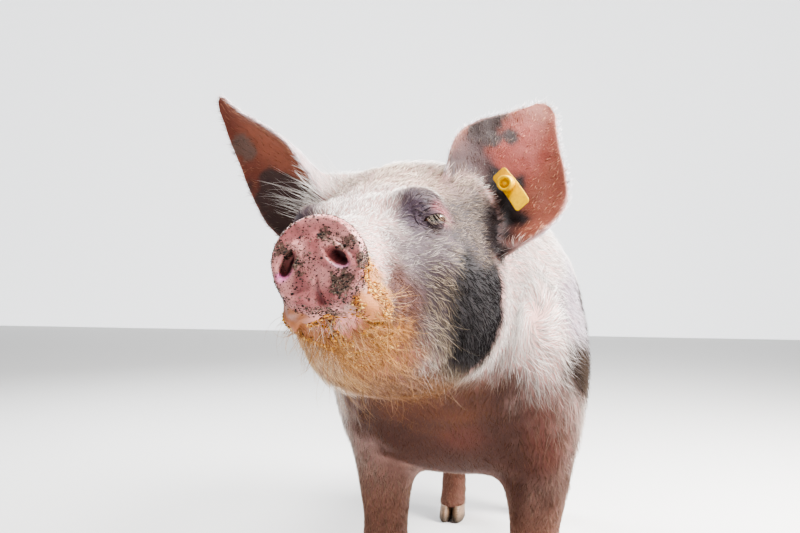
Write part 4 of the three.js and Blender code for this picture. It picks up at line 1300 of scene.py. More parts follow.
MARKS = (
    # The trunk and legs.
    # A dark brown chest and brisket: painted shade.
    Mark(Space.BODY, (-0.004, -0.130, 0.310), (0.170, 0.130, 0.140),
         (60, 32, 24), (104, 70, 54), 1.0, 0.35),
    Mark(Space.BODY, (0.132, -0.086, 0.353), (0.036, 0.055, 0.065),
         (104, 50, 40), (150, 108, 88), 0.5, 0.5),
    Mark(Space.BODY, (0.019, -0.103, 0.340), (0.024, 0.040, 0.020),
         (100, 48, 38), (136, 94, 80), 0.35, 0.6),
    # Cool lilac high on the left shoulder: painted shade.
    Mark(Space.BODY, (0.152, -0.030, 0.500), (0.030, 0.060, 0.075),
         (150, 130, 146), (214, 204, 218), 0.7, 0.4, 0.3, 0.03),
    Mark(Space.BODY, (0.150, -0.040, 0.425), (0.040, 0.055, 0.036),
         (62, 50, 48), (86, 72, 62), 1.0, 0.25, 0.3, 0.03),
    Mark(Space.BODY, (0.165, 0.060, 0.440), (0.050, 0.085, 0.095),
         (54, 44, 46), (62, 54, 52), 1.0, 0.15, 0.3, 0.04),
    Mark(Space.BODY, (0.080, 0.330, 0.640), (0.090, 0.110, 0.080),
         (62, 50, 54), (66, 58, 56), 1.0, 0.12, 0.3, 0.05),
    Mark(Space.BODY, (-0.160, 0.120, 0.520), (0.050, 0.095, 0.080),
         (62, 50, 54), (64, 56, 54), 1.0, 0.12, 0.3, 0.05),
    Mark(Space.BODY, (-0.150, 0.470, 0.480), (0.060, 0.075, 0.085),
         (58, 48, 50), (60, 52, 50), 1.0, 0.12, 0.3, 0.05),
    Mark(Space.BODY, (0.150, 0.610, 0.480), (0.060, 0.090, 0.075),
         (60, 50, 54), (64, 56, 54), 1.0, 0.12, 0.3, 0.05),
    Mark(Space.BODY, (-0.040, 0.690, 0.620), (0.070, 0.060, 0.060),
         (74, 62, 66), (82, 74, 72), 1.0, 0.12, 0.3, 0.04),
    Mark(Space.BODY, (0.100, 0.700, 0.230), (0.050, 0.070, 0.050),
         (100, 82, 82), (140, 128, 122), 0.8, 0.3, 0.3, 0.03),
    # The head, from the throat up.
    # Brown under the jaw and down the throat: painted shade.
    Mark(Space.HEAD, (0.000, 0.190, -0.125), (0.095, 0.170, 0.056),
         (88, 48, 30), (140, 96, 60), 1.0, 0.4),
    Mark(Space.HEAD, (-0.012, 0.120, -0.098), (0.075, 0.110, 0.040),
         (110, 68, 52), (168, 128, 98), 0.95, 0.4),
    Mark(Space.HEAD, (0.020, 0.060, -0.066), (0.050, 0.080, 0.036),
         (168, 102, 84), (206, 166, 122), 1.0, 0.3),
    Mark(Space.BOTH_SIDES, (0.046, 0.048, -0.004), (0.024, 0.038, 0.040),
         (196, 150, 142), WHITE_HAIR, 0.9, 0.4),
    Mark(Space.BOTH_SIDES, (0.066, 0.140, 0.004), (0.041, 0.080, 0.068),
         GREY_SKIN, (178, 168, 162), 1.0, 0.30, 0.25, 0.03),
    Mark(Space.HEAD, (0.080, 0.176, -0.048), (0.046, 0.078, 0.064),
         SLATE_SKIN, (172, 154, 132), 1.0, 0.25, 0.2, 0.03),
    Mark(Space.HEAD, (-0.084, 0.180, 0.000), (0.040, 0.060, 0.045),
         SLATE_SKIN, DUN_HAIR, 0.9, 0.25, 0.2, 0.03),
    Mark(Space.HEAD, (0.092, 0.198, -0.026), (0.052, 0.056, 0.068),
         BLACK_SKIN, BLACK_HAIR, 1.0, 0.16, 0.14),
    Mark(Space.HEAD, (-0.094, 0.236, 0.012), (0.040, 0.034, 0.046),
         BLACK_SKIN, BLACK_HAIR, 1.0, 0.16, 0.2),
    Mark(Space.BOTH_SIDES, (0.088, 0.214, 0.066), (0.040, 0.052, 0.062),
         (44, 34, 36), (160, 144, 132), 1.0, 0.25, 0.2),
    Mark(Space.BOTH_SIDES, (0.060, 0.138, 0.058), (0.028, 0.038, 0.028),
         (58, 46, 52), (118, 104, 102), 1.0, 0.30),
    Mark(Space.BOTH_SIDES, (0.052, 0.122, 0.050), (0.016, 0.018, 0.018),
         (56, 42, 54), (90, 78, 80), 0.9, 0.4),
    Mark(Space.BOTH_SIDES, (0.074, 0.160, 0.056), (0.013, 0.018, 0.012),
         (140, 78, 82), (170, 140, 140), 0.8, 0.5),
    Mark(Space.HEAD, (0.042, 0.080, -0.046), (0.025, 0.042, 0.050),
         (66, 34, 30), (116, 84, 72), 1.0, 0.35),
    Mark(Space.HEAD, (0.020, 0.205, 0.108), (0.085, 0.050, 0.030),
         (150, 120, 112), (204, 184, 164), 0.8, 0.5),
    Mark(Space.HEAD, (0.110, 0.253, 0.050), (0.026, 0.030, 0.036),
         (30, 22, 25), (66, 55, 54), 1.0, 0.25),
    Mark(Space.HEAD, (-0.060, 0.150, -0.050), (0.045, 0.090, 0.045),
         (132, 88, 60), (206, 170, 124), 0.8, 0.4),
    # Feed and earth have stained the lip and the chin.
    Mark(Space.HEAD, (0.032, 0.024, -0.030), (0.012, 0.026, 0.030),
         (166, 108, 62), (206, 158, 96), 0.9, 0.4, 0.5, 0.008),
    Mark(Space.HEAD, (0.030, 0.062, -0.058), (0.020, 0.040, 0.024),
         (146, 90, 52), (188, 138, 82), 0.9, 0.4, 0.5, 0.008),
    Mark(Space.HEAD, (-0.020, 0.040, -0.056), (0.028, 0.055, 0.032),
         (140, 86, 54), (180, 130, 80), 1.0, 0.4, 0.5, 0.008),
    Mark(Space.HEAD, (0.002, 0.098, -0.078), (0.034, 0.045, 0.024),
         (140, 86, 52), (182, 134, 84), 0.8, 0.5, 0.5, 0.010),
)
EAR_MARKS = (
    Mark(Space.EAR_LEFT, (0.085, 0.004, 0.0), (0.052, 0.030, 0.1),
         (124, 54, 48), (160, 98, 84), 0.7, 0.5),
    Mark(Space.EAR_LEFT, (0.086, -0.034, 0.0), (0.032, 0.017, 0.1),
         EAR_DARK, (120, 108, 100), 1.0, 0.18, 0.3, 0.012),
    Mark(Space.EAR_LEFT, (0.104, -0.008, 0.0), (0.010, 0.008, 0.1),
         EAR_DARK, (120, 108, 100), 1.0, 0.25, 0.3, 0.010),
    # Black at the root of the left ear's inside: partly its dark skin and hair, partly painted shade in
    # the ear canal.
    Mark(Space.EAR_LEFT, (0.018, 0.006, 0.0), (0.050, 0.050, 0.1),
         (24, 16, 19), (48, 38, 38), 1.0, 0.22, 0.2, 0.014),
    Mark(Space.EAR_LEFT, (0.044, -0.022, 0.0), (0.026, 0.024, 0.1),
         (60, 38, 38), (110, 92, 84), 0.9, 0.4),
    Mark(Space.EAR_RIGHT, (0.084, -0.004, 0.0), (0.050, 0.026, 0.1),
         (142, 84, 64), EAR_SKIN, 0.6, 0.5),
    Mark(Space.EAR_RIGHT, (0.121, 0.022, 0.0), (0.015, 0.012, 0.1),
         (104, 80, 72), (150, 138, 130), 1.0, 0.25, 0.3, 0.010),
    Mark(Space.EAR_RIGHT, (0.048, 0.046, 0.0), (0.046, 0.028, 0.1),
         (66, 48, 46), (120, 108, 100), 1.0, 0.18, 0.3, 0.012),
    # Dark at the root of the right ear's inside: partly its dark skin, partly painted shade in the ear
    # canal.
    Mark(Space.EAR_RIGHT, (0.008, 0.010, 0.0), (0.030, 0.050, 0.1),
         (52, 40, 42), (90, 80, 80), 1.0, 0.3),
)


@dataclass(frozen=True)
class Hide:
    """The colours of the skin and the coat over the whole body."""

    marks: tuple[Mark, ...] = MARKS
    ear_marks: tuple[Mark, ...] = EAR_MARKS

    def inner_ear(self, ear: Ear, local: Array) -> tuple[Array, Array]:
        """How surely each point lies on an ear, and on its inner face."""
        own = ear.to_ear(local)
        edge, off, _ = ear.unroll(own)
        on_ear = (1 - step(ear.distance(local), 0.0015, 0.0060)) * step(own[:, 0], -0.016, 0.002)
        inner = on_ear * step(off, -0.0004, 0.0010) * (1 - step(np.abs(edge), 0.97, 1.04))
        return on_ear, inner

    def colours(self, points: Array) -> tuple[Array, Array]:
        """The skin's colour and the hair's colour at body places, in linear light."""
        local = HEAD_LOFT.to_local(points)
        mirrored = folded(local)
        places = {Space.BODY: points, Space.HEAD: local, Space.BOTH_SIDES: mirrored}
        shade = (0.5 + 0.5 * NOISE(points, 0.06))[:, None]
        skin = paint(PALE_SKIN) * (0.93 + 0.10 * shade)
        hair = spread(WHITE_HAIR, skin).copy()
        face = (1 - step(local[:, 1], 0.20, 0.30))[:, None]
        skin = skin * (1 - 0.38 * face)
        # Painted shade: low on the body and down the legs, the skin and hair are made a darker brown.
        low = 1 - step(points[:, 2], 0.22, 0.44)
        skin = blend_to(skin, paint((98, 60, 46)) * (0.80 + 0.3 * shade), 0.95 * low)
        hair = blend_to(hair, spread((146, 110, 88), hair), 0.95 * low)
        for mark in self.marks:
            skin, hair = self.lay(mark, places[mark.space], np.ones(len(points)), skin, hair)
        for ear, space in zip(EARS, (Space.EAR_LEFT, Space.EAR_RIGHT)):
            on_ear, inner = self.inner_ear(ear, local)
            skin = blend_to(skin, spread((186, 152, 150), skin), 0.8 * on_ear)
            hair = blend_to(hair, spread((232, 226, 230), hair), on_ear)
            skin = blend_to(skin, paint(EAR_SKIN) * (0.88 + 0.2 * shade), inner)
            hair = blend_to(hair, spread((216, 164, 134), hair), inner)
            own = ear.to_ear(local) * (1, 1, 0)
            for mark in self.ear_marks:
                if mark.space is space:
                    skin, hair = self.lay(mark, own, inner, skin, hair)
        return skin, hair

    def lay(
        self, mark: Mark, places: Array, where: Array, skin: Array, hair: Array
    ) -> tuple[Array, Array]:
        """Lays one marking over the colours so far."""
        weight = patch(places, mark.centre, mark.radii, mark.soft, mark.wobble, mark.cell)
        weight = weight * mark.share * where
        skin = blend_to(skin, spread(mark.skin, skin), weight)
        return skin, blend_to(hair, spread(mark.hair, hair), weight)

    def disc(self, points: Array, skin: Array) -> tuple[Array, Array, Array]:
        """The bare snout disc: its pink, the earth stuck to it, painted shade in its nostrils and down
        its groove, and a painted highlight on the lower rim of each nostril.

        Returns:
            The skin's colours, how bare each place is, and how much earth lies there.
        """
        local = HEAD_LOFT.to_local(points)
        u, s, v = local.T
        radius = np.hypot(u, v)
        bare = (1 - step(s, 0.009, 0.016)) * (1 - step(radius, 0.0365, 0.0385))
        pink = blend_to(
            spread((218, 154, 150), skin),
            spread((166, 98, 98), skin),
            step(0.5 + 0.5 * NOISE(local, 0.012) + 9.0 * np.maximum(-v, 0), 0.2, 1.0),
        )
        skin = blend_to(skin, pink * (0.94 + 5.0 * np.clip(v, -0.03, 0.03))[:, None], bare)
        # Painted shade: a dark line down the groove to the lip.
        line, along = line_distance(local * (1, 0, 1), PHILTRUM)
        crease = bell(line, 0.0, 0.0010 + 0.0016 * along) * step(along, 0.0, 0.25)
        crease = crease * (s < 0.03) * (v < -0.006)
        skin = blend_to(skin, spread((92, 40, 44), skin), 0.75 * crease)
        lip = patch(local, (0.003, 0.010, -0.044), (0.018, 0.020, 0.012), 0.3)
        skin = blend_to(skin, spread((200, 138, 132), skin), lip)
        earth = np.zeros(len(points))
        for (cu, cv), (ru, rv), amount in EARTH_SPOTS:
            reach = np.hypot((u - cu) / ru, (v - cv) / rv) + 0.45 * NOISE(local, 0.0035)
            earth = np.maximum(earth, amount * (1 - step(reach, 0.5, 1.25)))
        rim = bell(radius, 0.0350, 0.0035) * step(-v - 0.5 * np.abs(u) + 0.030, 0.0, 0.03)
        earth = np.maximum(earth, 0.55 * rim * (0.5 + 0.5 * NOISE(local, 0.004)))
        earth = earth * np.clip(0.80 + 0.9 * NOISE(local, 0.0016), 0, 1)
        # Painted shade deep in each nostril, and a pink painted highlight on its lower rim.
        for nostril, lower in zip(NOSTRILS, ((206, 104, 176), (166, 112, 150))):
            reach = nostril.reach(u, v)
            deep = (1 - step(reach, 0.62, 1.02)) * step(s, 0.001, 0.008) * bare
            skin = blend_to(skin, spread((52, 20, 34), skin), deep)
            lit = bell(reach, 1.0, 0.28) * step(nostril.centre[1] - v, 0.003, 0.007)
            skin = blend_to(skin, spread(lower, skin), 0.65 * lit * bare)
            earth = earth * (1 - 0.8 * lit) * (1 - 0.6 * deep)
        return skin, bare, earth * (1 - step(s, 0.010, 0.020))


# Earth on the snout: place in u and v, radii, and how thick it lies.
EARTH_SPOTS = (
    ((0.0090, 0.0190), (0.0060, 0.0065), 0.9),
    ((0.0240, 0.0110), (0.0090, 0.0070), 0.7),
    ((0.0185, -0.0170), (0.0110, 0.0100), 1.0),
    ((-0.0240, 0.0130), (0.0080, 0.0070), 0.8),
    ((-0.0140, -0.0010), (0.0070, 0.0110), 0.6),
    ((0.0340, -0.0030), (0.0050, 0.0080), 0.8),
    ((0.0085, -0.0395), (0.0070, 0.0040), 1.0),
    ((0.0170, -0.0470), (0.0080, 0.0035), 0.8),
    ((-0.0060, 0.0040), (0.0050, 0.0050), 0.4),
)
HIDE = Hide()

# ---------------------------------------------------------------- finishes


class Wire:
    """A shader socket that takes part in Python sums, each of which adds a Math node."""

    def __init__(self, shader: "Shader", socket: bpy.types.NodeSocket) -> None:
        """Keeps the socket and the shader that it belongs to."""
        self.shader, self.socket = shader, socket

    def __add__(self, other: "Wire | float") -> "Wire":
        """Sum."""
        return self.shader.math("ADD", self, other)

    def __sub__(self, other: "Wire | float") -> "Wire":
        """Difference."""
        return self.shader.math("SUBTRACT", self, other)

    def __rsub__(self, other: float) -> "Wire":
        """Difference from a number."""
        return self.shader.math("SUBTRACT", other, self)

    def __mul__(self, other: "Wire | float") -> "Wire":
        """Product."""
        return self.shader.math("MULTIPLY", self, other)

    __radd__, __rmul__ = __add__, __mul__

    def clamp(self, low: float, high: float) -> "Wire":
        """0 at low and below, 1 at high and above, and a smooth rise between."""
        settings = {"interpolation_type": "SMOOTHSTEP"}
        return self.shader.add("ShaderNodeMapRange", settings, Value=self, From_Min=low, From_Max=high)


class Shader:
    """A material and its nodes, with its Principled shader ready."""

    def __init__(self, name: str) -> None:
        """Makes an empty material with an output and a Principled shader."""
        self.material = bpy.data.materials.new(name)
        self.material.use_nodes = True
        self.tree = self.material.node_tree
        self.main = self.tree.nodes["Principled BSDF"]

    def link(self, socket: bpy.types.NodeSocket, value: object) -> None:
        """Joins a wire to a socket, or sets the socket's own value."""
        if isinstance(value, Wire):
            self.tree.links.new(value.socket, socket)
        else:
            socket.default_value = value

    def add(
        self, kind: str, settings: dict[str, object] | None = None, out: int | str = 0, **inputs: object
    ) -> Wire:
        """Adds a node.

        Args:
            kind: The node's type.
            settings: Its properties, set before its sockets.
            out: The output to return.
            inputs: Values or wires by socket name, with _ for a space.

        Returns:
            The chosen output.
        """
        node = self.tree.nodes.new(kind)
        for key, value in (settings or {}).items():
            setattr(node, key, value)
        for key, value in inputs.items():
            name = key.replace("_", " ")
            self.link(next(s for s in node.inputs if s.name == name and s.enabled), value)
        if isinstance(out, int):
            return Wire(self, [s for s in node.outputs if s.enabled][out])
        return Wire(self, node.outputs[out])

    def math(self, operation: str, a: Wire | float, b: Wire | float) -> Wire:
        """One Math node."""
        node = self.tree.nodes.new("ShaderNodeMath")
        node.operation = operation
        self.link(node.inputs[0], a)
        self.link(node.inputs[1], b)
        return Wire(self, node.outputs[0])

    def mix(self, a: Wire | tuple, b: Wire | tuple, factor: Wire | float) -> Wire:
        """A mix of two colours."""
        return self.add("ShaderNodeMix", {"data_type": "RGBA"}, Factor=factor, A=a, B=b)

    def scaled(self, colour: Wire, factor: Wire) -> Wire:
        """A colour times a number."""
        return self.add("ShaderNodeVectorMath", {"operation": "SCALE"}, Vector=colour, Scale=factor)

    def attribute(self, name: str, out: str) -> Wire:
        """A value that the mesh carries."""
        return self.add("ShaderNodeAttribute", {"attribute_name": name}, out)

    def place(self) -> Wire:
        """The place on the object, in metres."""
        return self.add("ShaderNodeTexCoord", None, "Object")

    def noise(self, scale: float, detail: float = 2.0, rough: float = 0.5) -> Wire:
        """Cloudy values from 0 to 1."""
        sizes = {"Scale": scale, "Detail": detail, "Roughness": rough}
        return self.add("ShaderNodeTexNoise", None, 0, Vector=self.place(), **sizes)

    def cells(self, scale: float) -> Wire:
        """Distance from the nearest of many scattered points, in cells."""
        return self.add("ShaderNodeTexVoronoi", {"feature": "F1"}, 0, Vector=self.place(), Scale=scale)

    def bump(self, height: Wire, strength: float, distance: float) -> None:
        """Raises the surface by a height map."""
        sizes = {"Height": height, "Strength": strength, "Distance": distance}
        normal = self.add("ShaderNodeBump", None, 0, **sizes)
        self.link(self.main.inputs["Normal"], normal)

    def set(self, **values: object) -> None:
        """Sets or links sockets of the Principled shader, with _ for a space."""
        for key, value in values.items():
            self.link(self.main.inputs[key.replace("_", " ")], value)


@dataclass(frozen=True)
class SkinFinish:
    """Living skin: blotches, pores and fine wrinkles, moist on the snout, earth stuck on."""

    pore: float = 850.0
    wrinkle: float = 260.0
    blotch: float = 55.0

    def material(self) -> bpy.types.Material:
        """Builds the shader."""
        shader = Shader("pig_skin")
        bare, earth = shader.attribute("bare", "Fac"), shader.attribute("earth", "Fac")
        blotch = shader.noise(self.blotch, 4.0, 0.6)
        grain = shader.noise(self.wrinkle, 3.0, 0.6)
        pores = shader.cells(self.pore)
        crumb = shader.noise(620.0, 3.0, 0.7)
        stuck = (earth + crumb * 1.3 - 0.65).clamp(0.28, 0.55) * 0.8
        tone = 0.80 + 0.30 * blotch + 0.16 * grain - 0.10 * pores
        colour = shader.scaled(shader.attribute("tint", "Color"), tone)
        dirty = shader.noise(120.0, 3.0, 0.7).clamp(0.40, 0.60) * bare
        speck = (1 - shader.cells(560.0).clamp(0.16, 0.30)) * dirty
        colour = shader.mix(colour, (0.045, 0.028, 0.022, 1), speck * 0.9)
        grit = shader.noise(900.0, 2.0).clamp(0.35, 0.7)
        soil = shader.mix((0.035, 0.022, 0.014, 1), (0.16, 0.12, 0.085, 1), grit)
        shader.set(
            Base_Color=shader.mix(colour, soil, stuck),
            Roughness=0.64 - 0.24 * bare + 0.35 * stuck,
            Coat_Weight=0.25 * bare,
            Coat_Roughness=0.32,
            Subsurface_Weight=0.10,
            Subsurface_Radius=(0.010, 0.004, 0.002),
            Subsurface_Scale=0.5,
            Specular_IOR_Level=0.22,
        )
        shader.bump(grain * 0.55 + pores * 0.45 + stuck * crumb * 1.2, 0.55, 0.0009)
        return shader.material


@dataclass(frozen=True)
class HairFinish:
    """Bristle: the colour that each hair carries, with painted shade at its root, a little uneven along
    it.
    """

    def material(self) -> bpy.types.Material:
        """Builds the shader."""
        shader = Shader("bristle_hair")
        tone = 0.86 + 0.28 * shader.noise(420.0, 1.0)
        shader.set(
            Base_Color=shader.scaled(shader.attribute("tint", "Color"), tone),
            Roughness=0.46 + 0.16 * shader.noise(900.0, 1.0),
            Specular_IOR_Level=0.10,
        )
        return shader.material


@dataclass(frozen=True)
class EyeFinish:
    """A wet dark brown eye: pupil and iris by the ball's own map, pale at the corners."""

    def material(self) -> bpy.types.Material:
        """Builds the shader."""
        shader = Shader("eye_wet")
        ring = shader.attribute("ring", "Fac")
        fibre = shader.noise(1600.0, 3.0)
        iris = shader.mix((0.030, 0.012, 0.006, 1), (0.13, 0.055, 0.022, 1), fibre.clamp(0.3, 0.75))
        colour = shader.mix((0.003, 0.003, 0.003, 1), iris, ring.clamp(0.34, 0.42))
        veins = shader.noise(500.0, 4.0).clamp(0.55, 0.7)
        white = shader.mix((0.26, 0.18, 0.16, 1), (0.30, 0.12, 0.10, 1), veins)
        colour = shader.mix(colour, white, ring.clamp(0.86, 1.02))
        shader.set(Base_Color=colour, Roughness=0.10 + 0.05 * fibre)
        shader.set(Coat_Weight=1.0, Coat_Roughness=0.03)
        shader.bump(fibre, 0.08, 0.0003)
        return shader.material


@dataclass(frozen=True)
class HornFinish:
    """Dull horn: growth lines across, fine streaks down, earthy at the ground."""

    def material(self) -> bpy.types.Material:
        """Builds the shader."""
        shader = Shader("claw_horn")
        height = shader.attribute("height", "Fac")
        streak = shader.noise(420.0, 4.0, 0.6)
        sizes = {"Scale": 75.0, "Distortion": 3.0, "Detail": 2.0}
        rings = shader.add(
            "ShaderNodeTexWave", {"bands_direction": "Z"}, "Fac", Vector=shader.place(), **sizes
        )
        horn = shader.mix((0.30, 0.20, 0.13, 1), (0.16, 0.10, 0.065, 1), streak.clamp(0.3, 0.7))
        dirty = (1 - height + streak * 0.6 - 0.3).clamp(0.35, 0.85)
        colour = shader.mix(horn, (0.075, 0.055, 0.040, 1), dirty)
        shader.set(Base_Color=colour, Roughness=0.45 + 0.3 * dirty, Specular_IOR_Level=0.4)
        shader.bump(rings * 0.6 + streak * 0.6, 0.45, 0.0006)
        return shader.material


@dataclass(frozen=True)
class TagFinish:
    """Yellow moulded plastic, faintly grainy and scuffed, dusty in patches."""

    def material(self) -> bpy.types.Material:
        """Builds the shader."""
        shader = Shader("tag_plastic")
        grain, scuff = shader.noise(1500.0, 2.0), shader.noise(240.0, 5.0, 0.7)
        worn = scuff.clamp(0.56, 0.74)
        colour = shader.mix((0.93, 0.58, 0.004, 1), (0.84, 0.48, 0.008, 1), scuff.clamp(0.35, 0.6))
        colour = shader.mix(colour, (0.44, 0.27, 0.06, 1), worn * 0.4)
        shader.set(Base_Color=colour, Roughness=0.33 + 0.25 * worn, Specular_IOR_Level=0.5)
        shader.bump(grain * 0.3 + scuff, 0.12, 0.0005)
        return shader.material


@dataclass(frozen=True)
class EarthFinish:
    """Dry crumbs, each in its own colour."""

    def material(self) -> bpy.types.Material:
        """Builds the shader."""
        shader = Shader("dry_crumbs")
        crumb = shader.noise(1400.0, 3.0, 0.7)
        colour = shader.scaled(shader.attribute("tint", "Color"), 0.6 + 0.8 * crumb)
        shader.set(Base_Color=colour, Roughness=0.80 + 0.15 * crumb)
        shader.bump(crumb, 0.5, 0.0004)
        return shader.material


# ---------------------------------------------------------------- pieces


def body_shift() -> Array:
    """What takes a packed place to a body place.

    The claws of the left fore foot lie evenly about the middle of its leg, and their front is
    CLAW_FRONT before the leg's own place.
    """
    inner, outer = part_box("foreleg_left_claw_inner"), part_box("foreleg_left_claw_outer")
    across = (inner[0][0] + outer[1][0]) / 2
    ahead = LEGS[0].place + CLAW_FRONT - min(inner[0][1], outer[0][1])
    return np.array((LEG_MIDDLE - across, ahead, 0.0))


CLAW_FRONT = -0.057
SHIFT = body_shift()


def make_piece(
    name: str,
    mesh: Mesh,
    material: bpy.types.Material,
    colours: dict[str, Array] | None = None,
    values: dict[str, Array] | None = None,
    replaces: Sequence[str] = (),
    smooth: bool = True,
) -> bpy.types.Object:
    """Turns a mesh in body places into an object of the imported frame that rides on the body.

    Args:
        name: The piece's name.
        mesh: Its triangles.
        material: Its finish.
        colours: Colours at the vertices, by attribute name.
        values: Numbers at the vertices, by attribute name.
        replaces: The solids that it stands for.
        smooth: Whether it is shaded smoothly.

    Returns:
        The object.
    """
    data = bpy.data.meshes.new(name)
    count = len(mesh.faces)
    data.vertices.add(len(mesh.points))
    data.vertices.foreach_set("co", (mesh.points - SHIFT).astype(np.float32).ravel())
    data.loops.add(count * 3)
    data.loops.foreach_set("vertex_index", mesh.faces.astype(np.int32).ravel())
    data.polygons.add(count)
    data.polygons.foreach_set("loop_start", np.arange(0, count * 3, 3, dtype=np.int32))
    data.polygons.foreach_set("use_smooth", np.full(count, smooth))
    data.update(calc_edges=True)
    for key, rows in (colours or {}).items():
        layer = data.color_attributes.new(key, "FLOAT_COLOR", "POINT")
        full = np.ones((len(rows), 4), np.float32)
        full[:, :3] = rows
        layer.data.foreach_set("color", full.ravel())
    for key, rows in (values or {}).items():
        data.attributes.new(key, "FLOAT", "POINT").data.foreach_set("value", rows.astype(np.float32))
    data.materials.append(material)
    piece = bpy.data.objects.new(name, data)
    bpy.context.scene.collection.objects.link(piece)
    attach(piece, "root")
    if replaces:
        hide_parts(*replaces)
    LOG.info("%s: %d triangles", name, count)
    return piece


def tube_mesh(rings: Array, closed: bool = True) -> Mesh:
    """Triangles between rings of points, with both ends closed by a fan.

    Args:
        rings: Places by ring and by step round the ring.
        closed: Whether the ends are closed.
    """
    count, steps = rings.shape[:2]
    index = np.arange(count * steps).reshape(count, steps)
    turned = np.roll(index, -1, axis=1)
    a, b, c, d = index[:-1], turned[:-1], turned[1:], index[1:]
    faces = [np.stack([a, b, c], -1).reshape(-1, 3), np.stack([a, c, d], -1).reshape(-1, 3)]
    points = rings.reshape(-1, 3)
    if closed:
        first, last = len(points), len(points) + 1
        faces.append(np.stack([turned[0], index[0], np.full(steps, first)], 1))
        faces.append(np.stack([index[-1], turned[-1], np.full(steps, last)], 1))
        points = np.concatenate([points, rings[:1].mean(1), rings[-1:].mean(1)])
    return Mesh(points, np.concatenate(faces))


def face_areas(corners: Array) -> Array:
    """The area of each triangle: half the length of the product of two of its sides."""
    sides = corners[:, 1] - corners[:, 0], corners[:, 2] - corners[:, 0]
    return np.linalg.norm(np.cross(*sides), axis=1) / 2


def outward(mesh: Mesh) -> Mesh:
    """The same mesh with its faces turned outwards."""
    a, b, c = (mesh.points[mesh.faces[:, i]] for i in range(3))
    if (np.cross(a, b) * c).sum() < 0:
        mesh.faces = mesh.faces[:, ::-1].copy()
    return mesh


def joined(meshes: Sequence[Mesh]) -> Mesh:
    """Several meshes as one."""
    starts = np.cumsum([0] + [len(mesh.points) for mesh in meshes])
    return Mesh(
        np.concatenate([mesh.points for mesh in meshes]),
        np.concatenate([mesh.faces + start for mesh, start in zip(meshes, starts)]),
    )


@dataclass
class Body:
    """The skin with its eyes."""

    finish: SkinFinish = field(default_factory=SkinFinish)
    eye_finish: EyeFinish = field(default_factory=EyeFinish)
    steps: int = 40

    def eyes(self) -> tuple[Eye, Eye]:
        """The eyes, in the middle of their solids."""
        left, right = (np.mean(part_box(f"eye_{side}"), axis=0) + SHIFT for side in ("left", "right"))
        return Eye(1, left), Eye(-1, right)

    def build(self) -> tuple[Mesh, Array, tuple[Eye, Eye]]:
        """Makes the skin, the lids and both eyeballs.

        Returns:
            Skin and lids as one mesh, how furry each of its vertices is, and the eyes.
        """
        eyes = self.eyes()
        mesh = Skin(eyes).build()
        skin, _ = HIDE.colours(mesh.points)
        skin, bare, earth = HIDE.disc(mesh.points, skin)
        flesh = ["snout", "head", "lower_jaw", "neck", "shoulders", "barrel", "rump", "tail"]
        flesh += [ear.name for ear in EARS] + [leg.name for leg in LEGS]
        colours, values = {"tint": skin}, {"bare": bare, "earth": earth}
        material = self.finish.material()
        make_piece("skin", mesh, material, colours, values, flesh)
        finish = self.eye_finish.material()
        for eye, side in zip(eyes, ("left", "right")):
            ball = self.ball(eye)
            gaze = unit(np.array(EYE_GAZE)) @ eye.axes
            ring = {"ring": np.arccos(np.clip(unit(ball.points - eye.centre) @ gaze, -1, 1))}
            make_piece(f"eyeball_{side}", ball, finish, None, ring, [f"eye_{side}"])
        furry = [1 - np.maximum(*(eye.covered(mesh.points) for eye in eyes))]
        lids = [self.lids(eye, side, material) for eye, side in zip(eyes, ("left", "right"))]
        furry += [step(share, 0.10, 0.28) for _, share in lids]
        return joined([mesh] + [lid for lid, _ in lids]), np.concatenate(furry), eyes

    def lids(self, eye: Eye, side: str, material: bpy.types.Material) -> tuple[Mesh, Array]:
        """Makes the lids of one eye, dark and moist along their edges."""
        mesh, share = eye.lids()
        skin, _ = HIDE.colours(mesh.points)
        rim = (1 - step(share, 0.02, 0.09))[:, None]
        skin = blend_to(skin, spread((44, 28, 32), skin), 0.85 * rim[:, 0])
        values = {"bare": 0.7 * rim[:, 0], "earth": np.zeros(len(share))}
        make_piece(f"eyelids_{side}", mesh, material, {"tint": skin}, values)
        return mesh, share

    def ball(self, eye: Eye) -> Mesh:
        """A ball about the eye's outward axis, with a slight bulge at its front.

        The ring at the angle a from the axis has the radius r·sin a and stands r·cos a out,
        and r grows by a twentieth towards a = 0.
        """
        angle = np.linspace(0.02, math.pi - 0.02, self.steps)[:, None, None]
        around = np.linspace(0, 2 * math.pi, self.steps, endpoint=False)[None, :, None]
        radius = (EYE_RADIUS - 0.0003) * (1 + 0.05 * bell(angle, 0.0, 0.5))
        side = eye.axes[0] * np.cos(around) + eye.axes[1] * np.sin(around)
        ways = eye.axes[2] * np.cos(angle) + side * np.sin(angle)
        return outward(tube_mesh(eye.centre + radius * ways))


